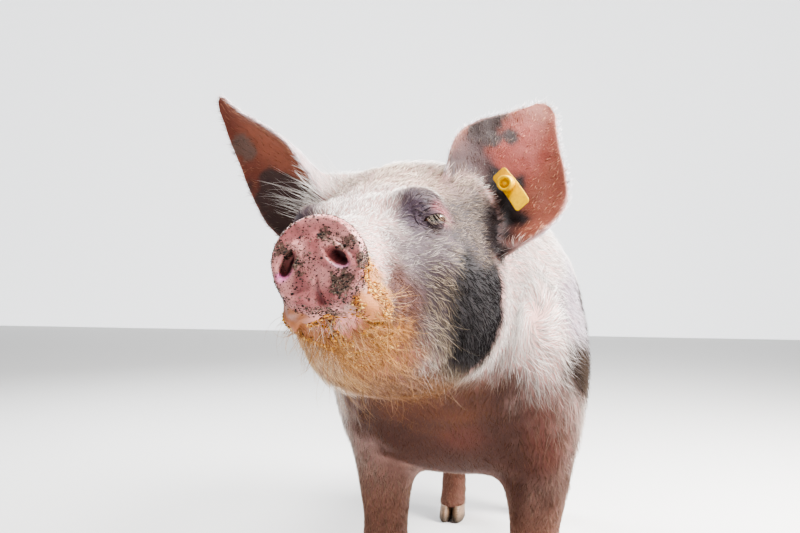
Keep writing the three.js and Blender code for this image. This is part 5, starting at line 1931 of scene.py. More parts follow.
@dataclass
class Claws:
    """The claws and dewclaws of one leg, rounded and ringed with growth."""

    leg: Leg
    finish: bpy.types.Material
    levels: int = 26
    steps: int = 36

    def claw(self, outer: bool) -> Mesh:
        """One claw: a rounded section that leans forwards to its worn tip.

        At the share h of the height, the front and back edges follow the table, and the width
        runs from the cleft outwards. Near the ground and the top the section draws in by a
        quarter circle, and small rings swell it along the height.
        """
        height = np.linspace(0, 1, self.levels)[:, None]
        table = np.array(CLAW_SECTIONS)
        z = height * CLAW_HEIGHT
        front, back, width = (np.interp(z, table[:, 0], table[:, i]) for i in (1, 2, 3))
        span = CLAW_WIDTH * width - CLAW_CLEFT / 2
        angle = np.linspace(0, 2 * math.pi, self.steps, endpoint=False)[None]
        cos, sin = np.cos(angle), np.sin(angle)
        power = 2 / CLAW_SQUARENESS
        x = np.sign(cos) * np.abs(cos) ** power
        y = np.sign(sin) * np.abs(sin) ** power
        low, high = np.clip(1 - height / 0.14, 0, 1), np.clip((height - 0.9) / 0.1, 0, 1)
        draw = 1 - 0.16 * low**2 - 0.05 * high**2
        draw = draw * (1 + 0.010 * np.sin(height * 46.0) + 0.006 * np.sin(height * 91.0))
        point = 1 - 0.38 * np.clip(-y, 0, 1) ** 2
        side = self.leg.side if outer else -self.leg.side
        half = span / 2
        across = self.leg.side * LEG_MIDDLE + side * (CLAW_CLEFT / 2 + half + x * half * draw * point)
        along = self.leg.place + (front + back) / 2 + y * (back - front) / 2 * draw
        rings = np.stack(np.broadcast_arrays(across, along, z), -1)
        return outward(tube_mesh(rings))

    def dewclaw(self, outer: bool) -> Mesh:
        """One dewclaw: a leaning egg, blunt below, with the same rings.

        Its radius at the share h of its length is the square root of 4h(1 - h), weighted
        towards the root.
        """
        share = np.linspace(0.0, 1.0, self.levels)[:, None]
        angle = np.linspace(0, 2 * math.pi, self.steps, endpoint=False)[None]
        size = np.sqrt(np.clip(4 * share * (1 - share), 0, 1)) * (1 + 0.012 * np.sin(share * 40))
        side = self.leg.side if outer else -self.leg.side
        x, y = np.cos(angle) * size * DEWCLAW_RADII[0], np.sin(angle) * size * DEWCLAW_RADII[1]
        z = (1 - 2 * share) * DEWCLAW_RADII[2] + 0 * angle
        c, s = math.cos(math.radians(DEWCLAW_TILT)), math.sin(math.radians(DEWCLAW_TILT))
        y, z = y * c - z * s, y * s + z * c
        across = self.leg.side * LEG_MIDDLE + side * DEWCLAW_SPREAD + x
        rings = np.stack([across, self.leg.place + DEWCLAW_BACK + y, DEWCLAW_HEIGHT + z], -1)
        return outward(tube_mesh(rings))

    def build(self) -> None:
        """Makes the four pieces of one foot, each in the place of its solid."""
        for outer, label in ((False, "inner"), (True, "outer")):
            for kind, mesh in (("claw", self.claw(outer)), ("dewclaw", self.dewclaw(outer))):
                node = f"{self.leg.name}_{kind}_{label}"
                low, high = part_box(node)
                z = mesh.points[:, 2] - SHIFT[2]
                height = {"height": np.clip((z - low[2]) / (high[2] - low[2]), 0, 1)}
                make_piece(f"{node}_horn", mesh, self.finish, None, height, [node])


# Claws, by height: front and back edge from the leg's own place, and the share of the width.
CLAW_SECTIONS = (
    (0.000, -0.057, 0.008, 0.96),
    (0.007, -0.056, 0.012, 1.00),
    (0.020, -0.051, 0.015, 0.98),
    (0.032, -0.044, 0.015, 0.93),
)
CLAW_WIDTH, CLAW_CLEFT, CLAW_SQUARENESS = 0.0265, 0.0014, 2.6
DEWCLAW_RADII = (0.0065, 0.0075, 0.013)
DEWCLAW_SPREAD, DEWCLAW_BACK, DEWCLAW_HEIGHT, DEWCLAW_TILT = 0.017, 0.031, 0.050, 24.0


@dataclass
class Tag:
    """The tag in the left ear: a stud through the ear, and a bent flag under its boss."""

    finish: bpy.types.Material
    steps: int = 56

    def __post_init__(self) -> None:
        """Finds the stud's foot and axes: across the ear, along it, and off its face.

        The third axis leans off the ear's normal by the two angles of TAG_LEAN.
        """
        ear, (along, across) = EARS[0], TAG_PLACE
        middle, half, _, _ = ear.outline(np.array([along]))
        edge = (across - float(middle[0])) / float(half[0])
        self.foot = self.surface(ear, along, edge)
        up = unit(self.surface(ear, along + 0.0005, edge) - self.foot)
        side = unit(self.surface(ear, along, edge + 0.0125) - self.foot)
        normal = unit(np.cross(side, up))
        beside = np.cross(up, normal)
        lean_across, lean_along = np.tan(np.radians(TAG_LEAN))
        normal = unit(normal + beside * lean_across + up * lean_along)
        up = unit(up - normal * (up @ normal))
        self.axes = np.stack([np.cross(up, normal), up, normal])

    def surface(self, ear: Ear, along: float, edge: float) -> Array:
        """A body place on the ear's middle surface."""
        middle, half, cup, bend = (float(values[0]) for values in ear.outline(np.array([along])))
        own = np.array((along, middle + half * edge, bend + cup * edge**2))
        return HEAD_LOFT.to_body(ear.to_head(own))

    def stud(self) -> Mesh:
        """Button, pin and hollow boss, turned about the third axis from their profile."""
        radius, height = np.array(STUD_PROFILE).T[:, :, None]
        angle = np.linspace(0, 2 * math.pi, self.steps, endpoint=False)[None]
        places = (radius * np.cos(angle), radius * np.sin(angle), height)
        rings = np.stack(np.broadcast_arrays(*places), -1)
        return outward(Mesh(*self.placed(tube_mesh(rings))))

    def placed(self, mesh: Mesh) -> tuple[Array, Array]:
        """A mesh about the foot as points and faces in body places."""
        return mesh.points @ self.axes + self.foot, mesh.faces

    def flag(self) -> Mesh:
        """The plate: rounded corners and edges, and a soft bend beyond the stud.

        At the distance d from an end, less than the corner's radius r, the half width is
        smaller by r - √(r² - (r - d)²). Beyond the bend the plate rises by its slope.
        """
        start, end, bend = -FLAG_TAIL, FLAG_LENGTH - FLAG_TAIL, FLAG_BEND
        share = (1 - np.cos(np.linspace(0, math.pi, 48)))[:, None] / 2
        length = start + (end - start) * share
        inward = np.maximum(FLAG_CORNER - np.minimum(length - start, end - length), 0)
        half = FLAG_WIDTH / 2 - FLAG_CORNER + np.sqrt(np.maximum(FLAG_CORNER**2 - inward**2, 4e-8))
        angle = np.linspace(0, 2 * math.pi, 32, endpoint=False)[None]
        cos, sin = np.cos(angle), np.sin(angle)
        width = half * np.sign(cos) * np.abs(cos) ** 0.22
        beyond = (length - bend) / FLAG_SOFTNESS
        slope = FLAG_RISE / (end - bend)
        rise = slope * FLAG_SOFTNESS * np.logaddexp(0, beyond)
        thick = FLAG_THICKNESS / 2 * np.sign(sin) * np.abs(sin) ** 0.35
        height = FLAG_LIFT + FLAG_THICKNESS / 2 + rise + thick
        turned = math.radians(FLAG_TURN)
        x = -math.sin(turned) * length - math.cos(turned) * width
        y = math.cos(turned) * length - math.sin(turned) * width
        rings = np.stack(np.broadcast_arrays(x, y, height), -1)
        return outward(Mesh(*self.placed(tube_mesh(rings))))

    def build(self) -> None:
        """Makes both pieces in the places of their solids."""
        make_piece("tag_stud", self.stud(), self.finish, replaces=["ear_tag_stud"])
        make_piece("tag_flag", self.flag(), self.finish, replaces=["ear_tag_flag"])


# The tag, by place along and across the left ear; it leans off the normal across and along it.
TAG_PLACE = (0.0595, 0.0218)
TAG_LEAN = (-11.0, -28.0)
STUD_PROFILE = (
    (0.0006, -0.0078), (0.0064, -0.0078), (0.0077, -0.0075), (0.0080, -0.0069), (0.0079, -0.0060),
    (0.0074, -0.0056), (0.0034, -0.0056), (0.0030, -0.0052), (0.0030, 0.0149), (0.0078, 0.0149),
    (0.0084, 0.0152), (0.0085, 0.0160), (0.0082, 0.0240), (0.0080, 0.0258), (0.0075, 0.0263),
    (0.0058, 0.0263), (0.0053, 0.0258), (0.0050, 0.0205), (0.0034, 0.0200), (0.0028, 0.0232),
    (0.0018, 0.0244), (0.0005, 0.0247),
)
FLAG_LENGTH, FLAG_WIDTH, FLAG_THICKNESS, FLAG_CORNER = 0.048, 0.018, 0.0018, 0.0035
FLAG_TAIL, FLAG_BEND, FLAG_RISE, FLAG_LIFT, FLAG_TURN = 0.016, 0.008, 0.013, 0.0125, -122.0
FLAG_SOFTNESS = 0.003

# Grains of earth and of feed: the colours that they are drawn from, and their sizes.
GRAIN_SHADES = (
    ((46, 34, 30), (30, 22, 20), (92, 76, 66), (120, 104, 92)),
    ((196, 140, 62), (164, 104, 44), (104, 64, 36), (224, 184, 116)),
)
GRAIN_SIZES = (0.00042, 0.00062)
OCTAHEDRON = ((1, 0, 0), (-1, 0, 0), (0, 1, 0), (0, -1, 0), (0, 0, 1), (0, 0, -1))
OCTAHEDRON_FACES = (
    (0, 2, 4), (2, 1, 4), (1, 3, 4), (3, 0, 4), (2, 0, 5), (1, 2, 5), (3, 1, 5), (0, 3, 5),
)


@dataclass
class Crumbs:
    """Loose grains of earth on the snout and of feed on the chin, each a rough little stone."""

    mesh: Mesh
    finish: bpy.types.Material
    seed: int = 5

    def weights(self, places: Array) -> tuple[Array, Array]:
        """Grains to the square metre of earth and of feed."""
        local = HEAD_LOFT.to_local(places)
        u, s, v = local.T
        radius = np.hypot(u, v)
        _, _, earth = HIDE.disc(places, np.zeros_like(places))
        front = 1 - step(s, 0.010, 0.018)
        clouds = 0.5 + 0.5 * NOISE(local, 0.007)
        rim = bell(radius, 0.0350, 0.0030)
        inside = np.minimum(*(nostril.reach(u, v) for nostril in NOSTRILS)) < 0.95
        soil = 70e3 + 1200e3 * earth + 650e3 * rim * clouds + 170e3 * clouds
        soil = front * soil * (radius < 0.039) * ~inside
        chin = patch(local, (-0.012, 0.046, -0.062), (0.044, 0.064, 0.042), 0.4) * (s > 0.012)
        side = patch(local, (0.032, 0.022, -0.034), (0.016, 0.022, 0.034), 0.4)
        feed = np.maximum(chin, side) * step(NOISE(local, 0.012), -0.35, 0.4) * 1600e3
        return soil, feed * (local[:, 1] < 0.14)

    def build(self) -> None:
        """Scatters the grains: octahedra with their corners pushed about, half sunk in."""
        random = np.random.default_rng(self.seed)
        corners = self.mesh.points[self.mesh.faces]
        areas = face_areas(corners)
        muzzle = HEAD_LOFT.to_body(np.array((0, 0.05, -0.03)))
        near = np.linalg.norm(corners.mean(1) - muzzle, axis=1) < 0.12
        rows = np.flatnonzero(near)
        kinds = self.weights(corners[rows].mean(1))
        points, tints = [], []
        shape = np.array(OCTAHEDRON, float)
        for weight, shades, size in zip(kinds, GRAIN_SHADES, GRAIN_SIZES):
            chance = weight * areas[rows]
            picks = rows[random.random(len(rows)) < chance]
            extra = rows[np.repeat(np.arange(len(rows)), np.maximum(chance.astype(int), 0))]
            picks = np.concatenate([picks, extra])
            share = random.dirichlet((1, 1, 1), len(picks))[..., None]
            roots = (corners[picks] * share).sum(1)
            scale = size * np.exp(0.45 * random.normal(size=len(picks)).clip(-2, 2))
            grain = shape + 0.30 * random.normal(size=(len(picks), 6, 3))
            grain *= np.array((1.2, 1.0, 0.8))
            points.append((roots[:, None] + grain * scale[:, None, None]).reshape(-1, 3))
            choice = random.integers(0, len(shades), len(picks))
            tint = np.stack([paint(shade) for shade in shades])[choice]
            tints.append(np.repeat(tint * random.uniform(0.7, 1.2, (len(picks), 1)), 6, axis=0))
        places = np.concatenate(points)
        starts = 6 * np.arange(len(places) // 6)[:, None, None]
        faces = (np.array(OCTAHEDRON_FACES)[None] + starts).reshape(-1, 3)
        tint = {"tint": np.concatenate(tints)}
        make_piece("snout_crumbs", Mesh(places, faces), self.finish, tint, smooth=False)


# ---------------------------------------------------------------- the coat

# Hairs to the square metre, by region.
MUZZLE_HAIRS, CHEEK_HAIRS, CHIN_HAIRS, NECK_HAIRS, TRUNK_HAIRS = 215e3, 170e3, 110e3, 90e3, 45e3
SPARSE_HAIRS, LEG_HAIRS, TAIL_HAIRS, EAR_HAIRS, INNER_EAR_HAIRS = 80e3, 120e3, 110e3, 190e3, 34e3
# Length of the hair, by region.
MUZZLE_LENGTH, NECK_LENGTH, SPARSE_LENGTH = 0.0080, 0.028, 0.009
LEG_LENGTH, TAIL_LENGTH, EAR_HAIR_LENGTH = 0.010, 0.020, 0.0095
# Thickness of the hair at its root, by region.
TRUNK_WIDTH, LEG_WIDTH, SPARSE_WIDTH, HEAD_WIDTH = 0.0008, 0.0007, 0.0005, 0.00062
# The middle of the whorl low on the left of the neck.
WHORL = (0.107, -0.135, 0.484)


@dataclass
class Site:
    """Places on the skin with what the coat needs to know about them."""

    points: Array
    normals: Array

    def __post_init__(self) -> None:
        """Works out the shares of head, ears, legs and tail at each place."""
        self.local = HEAD_LOFT.to_local(self.points)
        self.u, self.s, self.v = self.local.T
        self.ears = [HIDE.inner_ear(ear, self.local) for ear in EARS]
        self.ear = self.ears[0][0] + self.ears[1][0]
        self.inner = self.ears[0][1] + self.ears[1][1]
        self.head = (1 - step(self.s, 0.265, 0.345)) * (1 - self.ear)
        self.leg = 1 - step(self.points[:, 2], 0.235, 0.335)
        self.tail = step(self.points[:, 1], 0.842, 0.856)
        under = step(-self.normals[:, 2], 0.30, 0.80)
        chest = patch(self.points, (0.0, -0.150, 0.300), (0.150, 0.130, 0.125), 0.4)
        self.sparse = np.maximum(under, chest) * (1 - self.head) * (1 - self.ear)

    def density(self) -> Array:
        """Hairs to the square metre."""
        s, v = self.s, self.v
        face = toward(MUZZLE_HAIRS, CHEEK_HAIRS, step(s, 0.06, 0.22))
        face = toward(face, CHIN_HAIRS, step(-v, 0.045, 0.085))
        around_eye = patch(folded(self.local), (0.060, 0.138, 0.058), (0.024, 0.032, 0.022))
        thin = patch(folded(self.local), (0.074, 0.150, -0.006), (0.038, 0.080, 0.064), 0.4)
        face = face * step(s, 0.0135, 0.0175) * (1 - 0.35 * around_eye) * (1 - 0.35 * thin)
        body = toward(NECK_HAIRS, TRUNK_HAIRS, step(self.points[:, 1], 0.00, 0.20))
        body = toward(body, SPARSE_HAIRS, self.sparse)
        body = toward(body, LEG_HAIRS, self.leg)
        body = toward(body, TAIL_HAIRS, self.tail)
        total = toward(body, face, self.head)
        total = toward(total, toward(EAR_HAIRS, INNER_EAR_HAIRS, self.inner), self.ear)
        return total * step(self.points[:, 2], 0.030, 0.036)

    def length(self) -> Array:
        """Length of the hair."""
        s, v = self.s, self.v
        face = MUZZLE_LENGTH + 0.0050 * step(s, 0.03, 0.20) + 0.0030 * step(s, 0.19, 0.29)
        face = face + 0.0050 * step(v, 0.070, 0.115) * step(s, 0.17, 0.25)
        face = face + 0.0080 * step(-v, 0.040, 0.085)
        body = NECK_LENGTH - 0.006 * step(self.points[:, 1], 0.0, 0.25)
        body = toward(body, SPARSE_LENGTH, self.sparse)
        body = toward(body, LEG_LENGTH, self.leg)
        body = toward(body, TAIL_LENGTH, self.tail)
        total = toward(body, face, self.head)
        return toward(total, EAR_HAIR_LENGTH - 0.0025 * self.inner, self.ear)

    def width(self) -> Array:
        """Thickness of the hair at its root."""
        body = toward(TRUNK_WIDTH, LEG_WIDTH, np.maximum(self.leg, self.tail))
        body = toward(body, SPARSE_WIDTH, self.sparse)
        return toward(body, HEAD_WIDTH, np.maximum(self.head, self.ear))

    def lie(self) -> Array:
        """The way the hair lies, along the skin.

        It runs back from the snout, down over the cheeks and under the jaw, out over the ears
        to their tips and rims, back and down over the trunk and straight down the legs. A
        whorl turns it round one place low on the left of the neck.
        """
        side = np.sign(self.u)
        wide = step(np.abs(self.u), 0.025, 0.065)
        low = 1 - step(self.v, -0.045, 0.035)
        jowl = (1 - step(self.v, -0.075, -0.025)) * step(self.s, 0.12, 0.22)
        down = -0.55 * wide * low - 0.55 * wide * jowl
        down = down - 0.5 * step(-self.v, 0.045, 0.075) + 0.30 * step(self.v, 0.06, 0.10)
        out = side * 0.42 * step(self.v, 0.045, 0.085) * step(self.s, 0.10, 0.20)
        muzzle = 1 - step(self.s, 0.014, 0.034)
        out = out + 0.6 * muzzle * self.u / DISC_RADIUS
        down = down + 0.6 * muzzle * self.v / DISC_RADIUS
        head = HEAD_LOFT.to_body_direction(np.stack([out, np.ones_like(out), down], 1))
        sideways = step(np.abs(self.normals[:, 0]), 0.25, 0.75)
        front = 1 - step(self.points[:, 1], -0.13, -0.02)
        fall = -0.16 - 0.42 * sideways - 1.1 * front * (1 - step(self.points[:, 2], 0.40, 0.52))
        body = np.stack([0 * fall, np.ones_like(fall), fall], 1)
        body = blend_to(body, np.array((0.0, 0.16, -1.0)) + 0 * body, self.leg)
        body = blend_to(body, TAIL_CURL.share(self.points)[1], self.tail)
        away = self.points - np.array(WHORL)
        reach = np.linalg.norm(away, axis=1)
        turning = unit(np.cross(self.normals, away)) + 0.7 * unit(away)
        body = blend_to(unit(body), turning, 1 - step(reach, 0.020, 0.062))
        ways = blend_to(unit(body), unit(head), self.head)
        for ear, (on_ear, _) in zip(EARS, self.ears):
            own = ear.to_ear(self.local)
            edge, _, _ = ear.unroll(own)
            leaf = np.stack([np.ones_like(edge), 0.75 * edge, 0 * edge], 1)
            leaf = leaf @ ear.axes.T * (ear.side, 1, 1)
            ways = blend_to(ways, HEAD_LOFT.to_body_direction(leaf), on_ear)
        return unit(ways - self.normals * dot(ways, self.normals))

    def chart(self) -> Array:
        """Each place on a flat unwrap of the skin, from 0 to 1 both ways.

        The head goes by s and the angle round its axis, the trunk by Y and the angle round
        its own, each leg by height and angle in a quarter, and each ear by its own two axes.
        """
        x, y, z = self.points.T
        trunk = np.stack([(y + 0.35) / 1.30, TRUNK_LOFT.angle(self.points) / (2 * math.pi) + 0.5], 1)
        head = np.stack([self.s / 0.36, np.arctan2(self.u, self.v) / (2 * math.pi) + 0.5], 1)
        flat = np.where(self.head[:, None] > 0.5, head, trunk)
        for number, leg in enumerate(LEGS):
            across, along, _, _ = leg.section(z)
            turn_share = np.arctan2(x - across, y - along) / (2 * math.pi) + 0.5
            quarter = np.stack([(turn_share + number) / 4, z / 0.40], 1)
            own = (self.leg > 0.5) & (np.sign(x) == leg.side) & (np.abs(y - leg.place) < 0.25)
            flat = np.where(own[:, None], quarter, flat)
        for number, (ear, (on_ear, inner)) in enumerate(zip(EARS, self.ears)):
            places = ear.to_ear(self.local)
            quarter = np.stack([places[:, 0] / 0.20 + 0.1, (places[:, 1] + 0.1) / 0.2], 1)
            quarter = np.clip(quarter, 0, 1) + np.stack([inner > 0.5, np.full_like(inner, number)], 1)
            quarter = quarter / 2
            flat = np.where(on_ear[:, None] > 0.5, quarter, flat)
        return np.clip(flat, 0.0, 1.0) * 0.99


@dataclass
class Strands:
    """Tapered hairs, each a closed prism of three sides."""

    roots: Array
    normals: Array
    ways: Array
    lengths: Array
    widths: Array
    lifts: Array
    sways: Array
    hair: Array
    skin: Array
    chart: Array
    rings: int = 2

    def mesh(self) -> tuple[Mesh, Array]:
        """All hairs as one mesh, with the colour at each vertex.

        A hair's middle line at the share t of its length L is the root
        + L (way·t·cos lift + normal·sin lift·(t - t²/2) + side·sway·t²). Its half width falls
        as (1 - t)^0.6, and every ring has three corners round the line.
        """
        share = np.linspace(0, 1, self.rings + 1)[None, :, None]
        side = np.cross(self.normals, self.ways)
        lift, sway = self.lifts[:, None, None], self.sways[:, None, None]
        line = (
            self.ways[:, None] * share * np.cos(lift)
            + self.normals[:, None] * np.sin(lift) * (share - share**2 / 2)
            + side[:, None] * sway * share**2
        ) * self.lengths[:, None, None] + (self.roots - self.normals * 0.0003)[:, None]
        half = self.widths[:, None, None] / 2 * (1 - share[:, :-1]) ** 0.6
        corners = []
        for angle in (math.pi / 2, math.pi * 7 / 6, math.pi * 11 / 6):
            spoke = side * math.cos(angle) + self.normals * math.sin(angle) * 0.7
            corners.append(line[:, :-1] + half * spoke[:, None])
        body = np.stack(corners, 2).reshape(len(self.roots), -1, 3)
        points = np.concatenate([body, line[:, -1:]], 1)
        size = points.shape[1]
        faces = np.array(self.template())[None] + (np.arange(len(points)) * size)[:, None, None]
        return Mesh(points.reshape(-1, 3), faces.reshape(-1, 3)), self.tint().reshape(-1, 3)

    def template(self) -> list[tuple[int, int, int]]:
        """The faces of one hair: its root, its sides ring by ring and its tip."""
        faces = [(0, 2, 1)]
        for ring in range(self.rings):
            for i in range(3):
                a, b = ring * 3 + i, ring * 3 + (i + 1) % 3
                if ring == self.rings - 1:
                    faces.append((a, b, self.rings * 3))
                else:
                    faces += [(a, b, b + 3), (a, b + 3, a + 3)]
        return faces

    def shares(self) -> Array:
        """Each vertex's share of the way along its hair."""
        return np.append(np.repeat(np.linspace(0, 1, self.rings + 1)[:-1], 3), 1.0)

    def tint(self) -> Array:
        """Colours from root to tip: darker and nearer to the skin's colour at the root, which is
        painted shade down in the coat.
        """
        share = self.shares()
        # The darker root is painted shade between the hairs.
        root = self.hair * 0.34 + self.skin * 0.28
        rise = np.sqrt(share)[None, :, None]
        return root[:, None] + (self.hair * 1.04 - root)[:, None] * rise

    def bake_map(self) -> Array:
        """Each corner's place on the unwrap: a small patch at the place of the hair's root."""
        share = self.shares()
        around = np.append(np.tile(np.array((0.0, 0.5, 1.0)), self.rings), 0.5)
        patch_places = np.stack([share, around], 1) * BAKE_PATCH
        corners = patch_places[np.array(self.template()).ravel()]
        return (self.chart[:, None] + corners[None]).reshape(-1, 2)


# The size of one hair's patch on the unwrap, and the rings and the angle of the coat's hairs.
BAKE_PATCH = 0.003
COAT_RINGS = 2
COAT_LIFT = 13.0
# How much neighbouring hairs differ in tone, length and width, how many are dark and how dark.
TONE_SPREAD, LENGTH_SPREAD, WIDTH_SPREAD = 0.20, 0.22, 0.18
DARK_SHARE, DARKER = 0.12, 0.35
# Where the coat's pieces meet: behind the muzzle, at the crown, behind the neck and the flank.
MUZZLE_END, CROWN_LEVEL, NECK_END, FLANK_END = 0.115, 0.045, 0.03, 0.42
# Lashes, upper and lower: how many, the angles round the slit, length and fall.
LASHES = ((44, 0.30, 2.45, 0.0095, -0.75), (30, -2.2, -0.5, 0.0050, -0.35))


@dataclass
class Coat:
    """Hair over the whole skin, in pieces by region."""

    mesh: Mesh
    furry: Array
    eyes: tuple[Eye, Eye]
    finish: bpy.types.Material
    seed: int = 11

    def __post_init__(self) -> None:
        """Measures the skin's faces and sets the random numbers going."""
        self.random = np.random.default_rng(self.seed)
        corners = self.mesh.points[self.mesh.faces]
        self.areas = face_areas(corners)
        self.vertex_normals = self.mesh.normals()
        self.site = Site(corners.mean(1), unit(self.vertex_normals[self.mesh.faces].sum(1)))
        self.dense = self.site.density() * self.furry[self.mesh.faces].min(1)

    def scatter(self, weights: Array) -> tuple[Array, Array]:
        """Random roots on the faces.

        Args:
            weights: Hairs to the square metre on each face.

        Returns:
            Places and outward directions.
        """
        load = np.cumsum(weights * self.areas)
        count = int(load[-1])
        draws = (np.arange(count) + self.random.random(count)) / count * load[-1]
        rows = np.minimum(np.searchsorted(load, draws), len(load) - 1)
        a, b = self.random.random((2, count))
        root = np.sqrt(a)
        shares = np.stack([1 - root, root * (1 - b), root * b], 1)[..., None]
        faces = self.mesh.faces[rows]
        normals = unit((self.vertex_normals[faces] * shares).sum(1))
        return (self.mesh.points[faces] * shares).sum(1), normals

    def strands(
        self, site: Site, rings: int, longer: float = 1.0, lift: float = COAT_LIFT
    ) -> Strands:
        """Hairs at the given places, each a little different from its neighbours.

        Args:
            site: Where the hairs stand.
            rings: Rings of corners along each hair.
            longer: How many times as long as the coat there.
            lift: The angle at which the hair leaves the skin, in degrees.
        """
        count = len(site.points)
        random = self.random
        skin, hair = HIDE.colours(site.points)
        tone = 1 + TONE_SPREAD * random.normal(size=(count, 1)).clip(-2.0, 1.0)
        dark = (random.random((count, 1)) < DARK_SHARE) * DARKER
        tuft = NOISE(site.points, 0.011) + 0.6 * NOISE(site.points, 0.0045)
        ways = site.lie()
        side = np.cross(site.normals, ways)
        swing = 0.30 * tuft + 0.16 * random.normal(size=count)
        ways = unit(ways + side * swing[:, None])
        unrest = 0.35 * random.normal(size=count).clip(-1.5, 2) + 0.25 * NOISE(site.points, 0.006)
        return Strands(
            roots=site.points,
            normals=site.normals,
            ways=ways,
            lengths=site.length()
            * longer
            * (1 + LENGTH_SPREAD * random.normal(size=count).clip(-2, 2)),
            widths=site.width() * (1 + WIDTH_SPREAD * random.normal(size=count).clip(-2, 2)),
            lifts=np.radians(lift) * (1 + unrest),
            sways=0.10 * random.normal(size=count) + 0.16 * tuft,
            hair=hair * np.clip(tone - dark, 0.4, 1.25),
            skin=skin,
            chart=site.chart(),
            rings=rings,
        )

    def add(self, name: str, strands: Strands) -> None:
        """Makes one piece of hair with its map for baking."""
        mesh, tint = strands.mesh()
        piece = make_piece(name, mesh, self.finish, {"tint": np.clip(tint, 0, 1)})
        layer = piece.data.uv_layers.new(name="OFBake")
        layer.data.foreach_set("uv", strands.bake_map().astype(np.float32).ravel())

    def cover(self, name: str, where: Array, lift: float = COAT_LIFT) -> None:
        """Covers part of the skin with hair.

        Args:
            name: The piece's name.
            where: The share of each face's hair that belongs to this piece.
            lift: The angle at which it leaves the skin, in degrees.
        """
        points, normals = self.scatter(self.dense * where)
        self.add(name, self.strands(Site(points, normals), COAT_RINGS, lift=lift))

    def extra(
        self,
        weights: Array,
        rings: int,
        longer: float,
        lift: float,
        finer: float = 1.0,
        livelier: float = 1.0,
    ) -> Strands:
        """Hairs that stand out of the coat.

        Args:
            weights: Hairs to the square metre on each face.
            rings: Rings of corners along each hair.
            longer: How many times as long as the coat there.
            lift: The angle at which they leave the skin, in degrees.
            finer: Their width as a share of the coat's.
            livelier: How many times as strong their sway is.

        Returns:
            The hairs, not yet made a piece.
        """
        strands = self.strands(Site(*self.scatter(weights)), rings, longer, lift)
        strands.widths = strands.widths * finer
        strands.sways = strands.sways * livelier
        return strands

    def whiskers(self) -> None:
        """Long thin hairs round the chin, the lips and the jaw, which stand well off."""
        site = self.site
        where = (site.s > 0.014) & (site.s < 0.20) & (site.v < -0.034) & (site.ear < 0.5)
        near_lip = 1 - step(site.s, 0.05, 0.15)
        long = self.extra(
            where * (9e3 + 26e3 * near_lip), rings=4, longer=2.7, lift=44.0, finer=0.62, livelier=1.6
        )
        self.add("whiskers", long)
        lip = (site.s > 0.014) & (site.s < 0.075) & (site.v < -0.026) & (site.v > -0.085)
        strands = self.extra(lip * 15e3, rings=5, longer=4.6, lift=58.0, livelier=2.2)
        strands.widths = np.full(len(strands.widths), 0.00050)
        self.add("lip_whiskers", strands)

    def brow_tufts(self) -> None:
        """Longer hairs before the ears, which fan out over their roots."""
        site = self.site
        weight = patch(folded(site.local), (0.066, 0.228, 0.102), (0.032, 0.036, 0.030), 0.5)
        weight = weight * 9e3 * (site.inner < 0.2)
        strands = self.extra(weight, rings=4, longer=1.6, lift=24.0, finer=0.7)
        strands.hair = strands.hair * 0.6
        self.add("ear_root_tufts", strands)
        weight = patch(site.local, (-0.052, 0.212, 0.104), (0.028, 0.040, 0.026), 0.5)
        weight = weight * 44e3 * (site.ears[1][1] < 0.2)
        strands = self.extra(weight, rings=5, longer=3.1, lift=40.0, finer=0.75)
        strands.hair = strands.hair * 0 + paint(WHITE_HAIR)
        strands.ways = unit(strands.ways + HEAD_LOFT.to_body_direction((-0.9, -0.5, 0.5)))
        self.add("brow_tuft_right", strands)

    def ear_fringe(self) -> None:
        """Pale hairs that stand out over the rims of the ears."""
        site = self.site
        weight = np.zeros(len(site.points))
        for ear, (on_ear, _) in zip(EARS, site.ears):
            _, _, rim = ear.unroll(ear.to_ear(site.local))
            weight = np.maximum(weight, on_ear * (rim > -0.0035))
        fringe = self.extra(weight * 330e3, rings=3, longer=0.50, lift=20.0, finer=0.6)
        self.add("ear_fringe", fringe)

    def lashes(self) -> None:
        """Pale lashes that hang from the upper lids, and a few short ones below."""
        parts = []
        for eye in self.eyes:
            for count, start, end, long, fall in LASHES:
                turning = self.random.uniform(start, end, count)
                x, y = eye.margin(turning)
                roots = np.stack([x, y, eye.lid_height(x, y) + 0.0003], 1)
                spread = 0.45 * np.cos(turning) + 0.15 * self.random.normal(size=count)
                ways = unit(np.stack([spread + 0.25, np.full(count, fall), np.full(count, 0.75)], 1))
                normals = np.broadcast_to(eye.axes[2], roots.shape)
                parts.append((eye.to_body(roots), normals, ways @ eye.axes, np.full(count, long)))
        roots, normals, ways, lengths = (np.concatenate(rows) for rows in zip(*parts))
        base = self.strands(Site(roots, normals), 3)
        base.ways, base.lengths = ways, lengths * (1 + 0.2 * self.random.normal(size=len(lengths)))
        base.normals = unit(np.cross(np.cross(ways, normals), ways))
        base.widths = np.full(len(lengths), 0.00030)
        base.lifts, base.hair = base.lifts * 0 - 0.25, base.hair * 0 + paint((206, 190, 172))
        self.add("lashes", base)

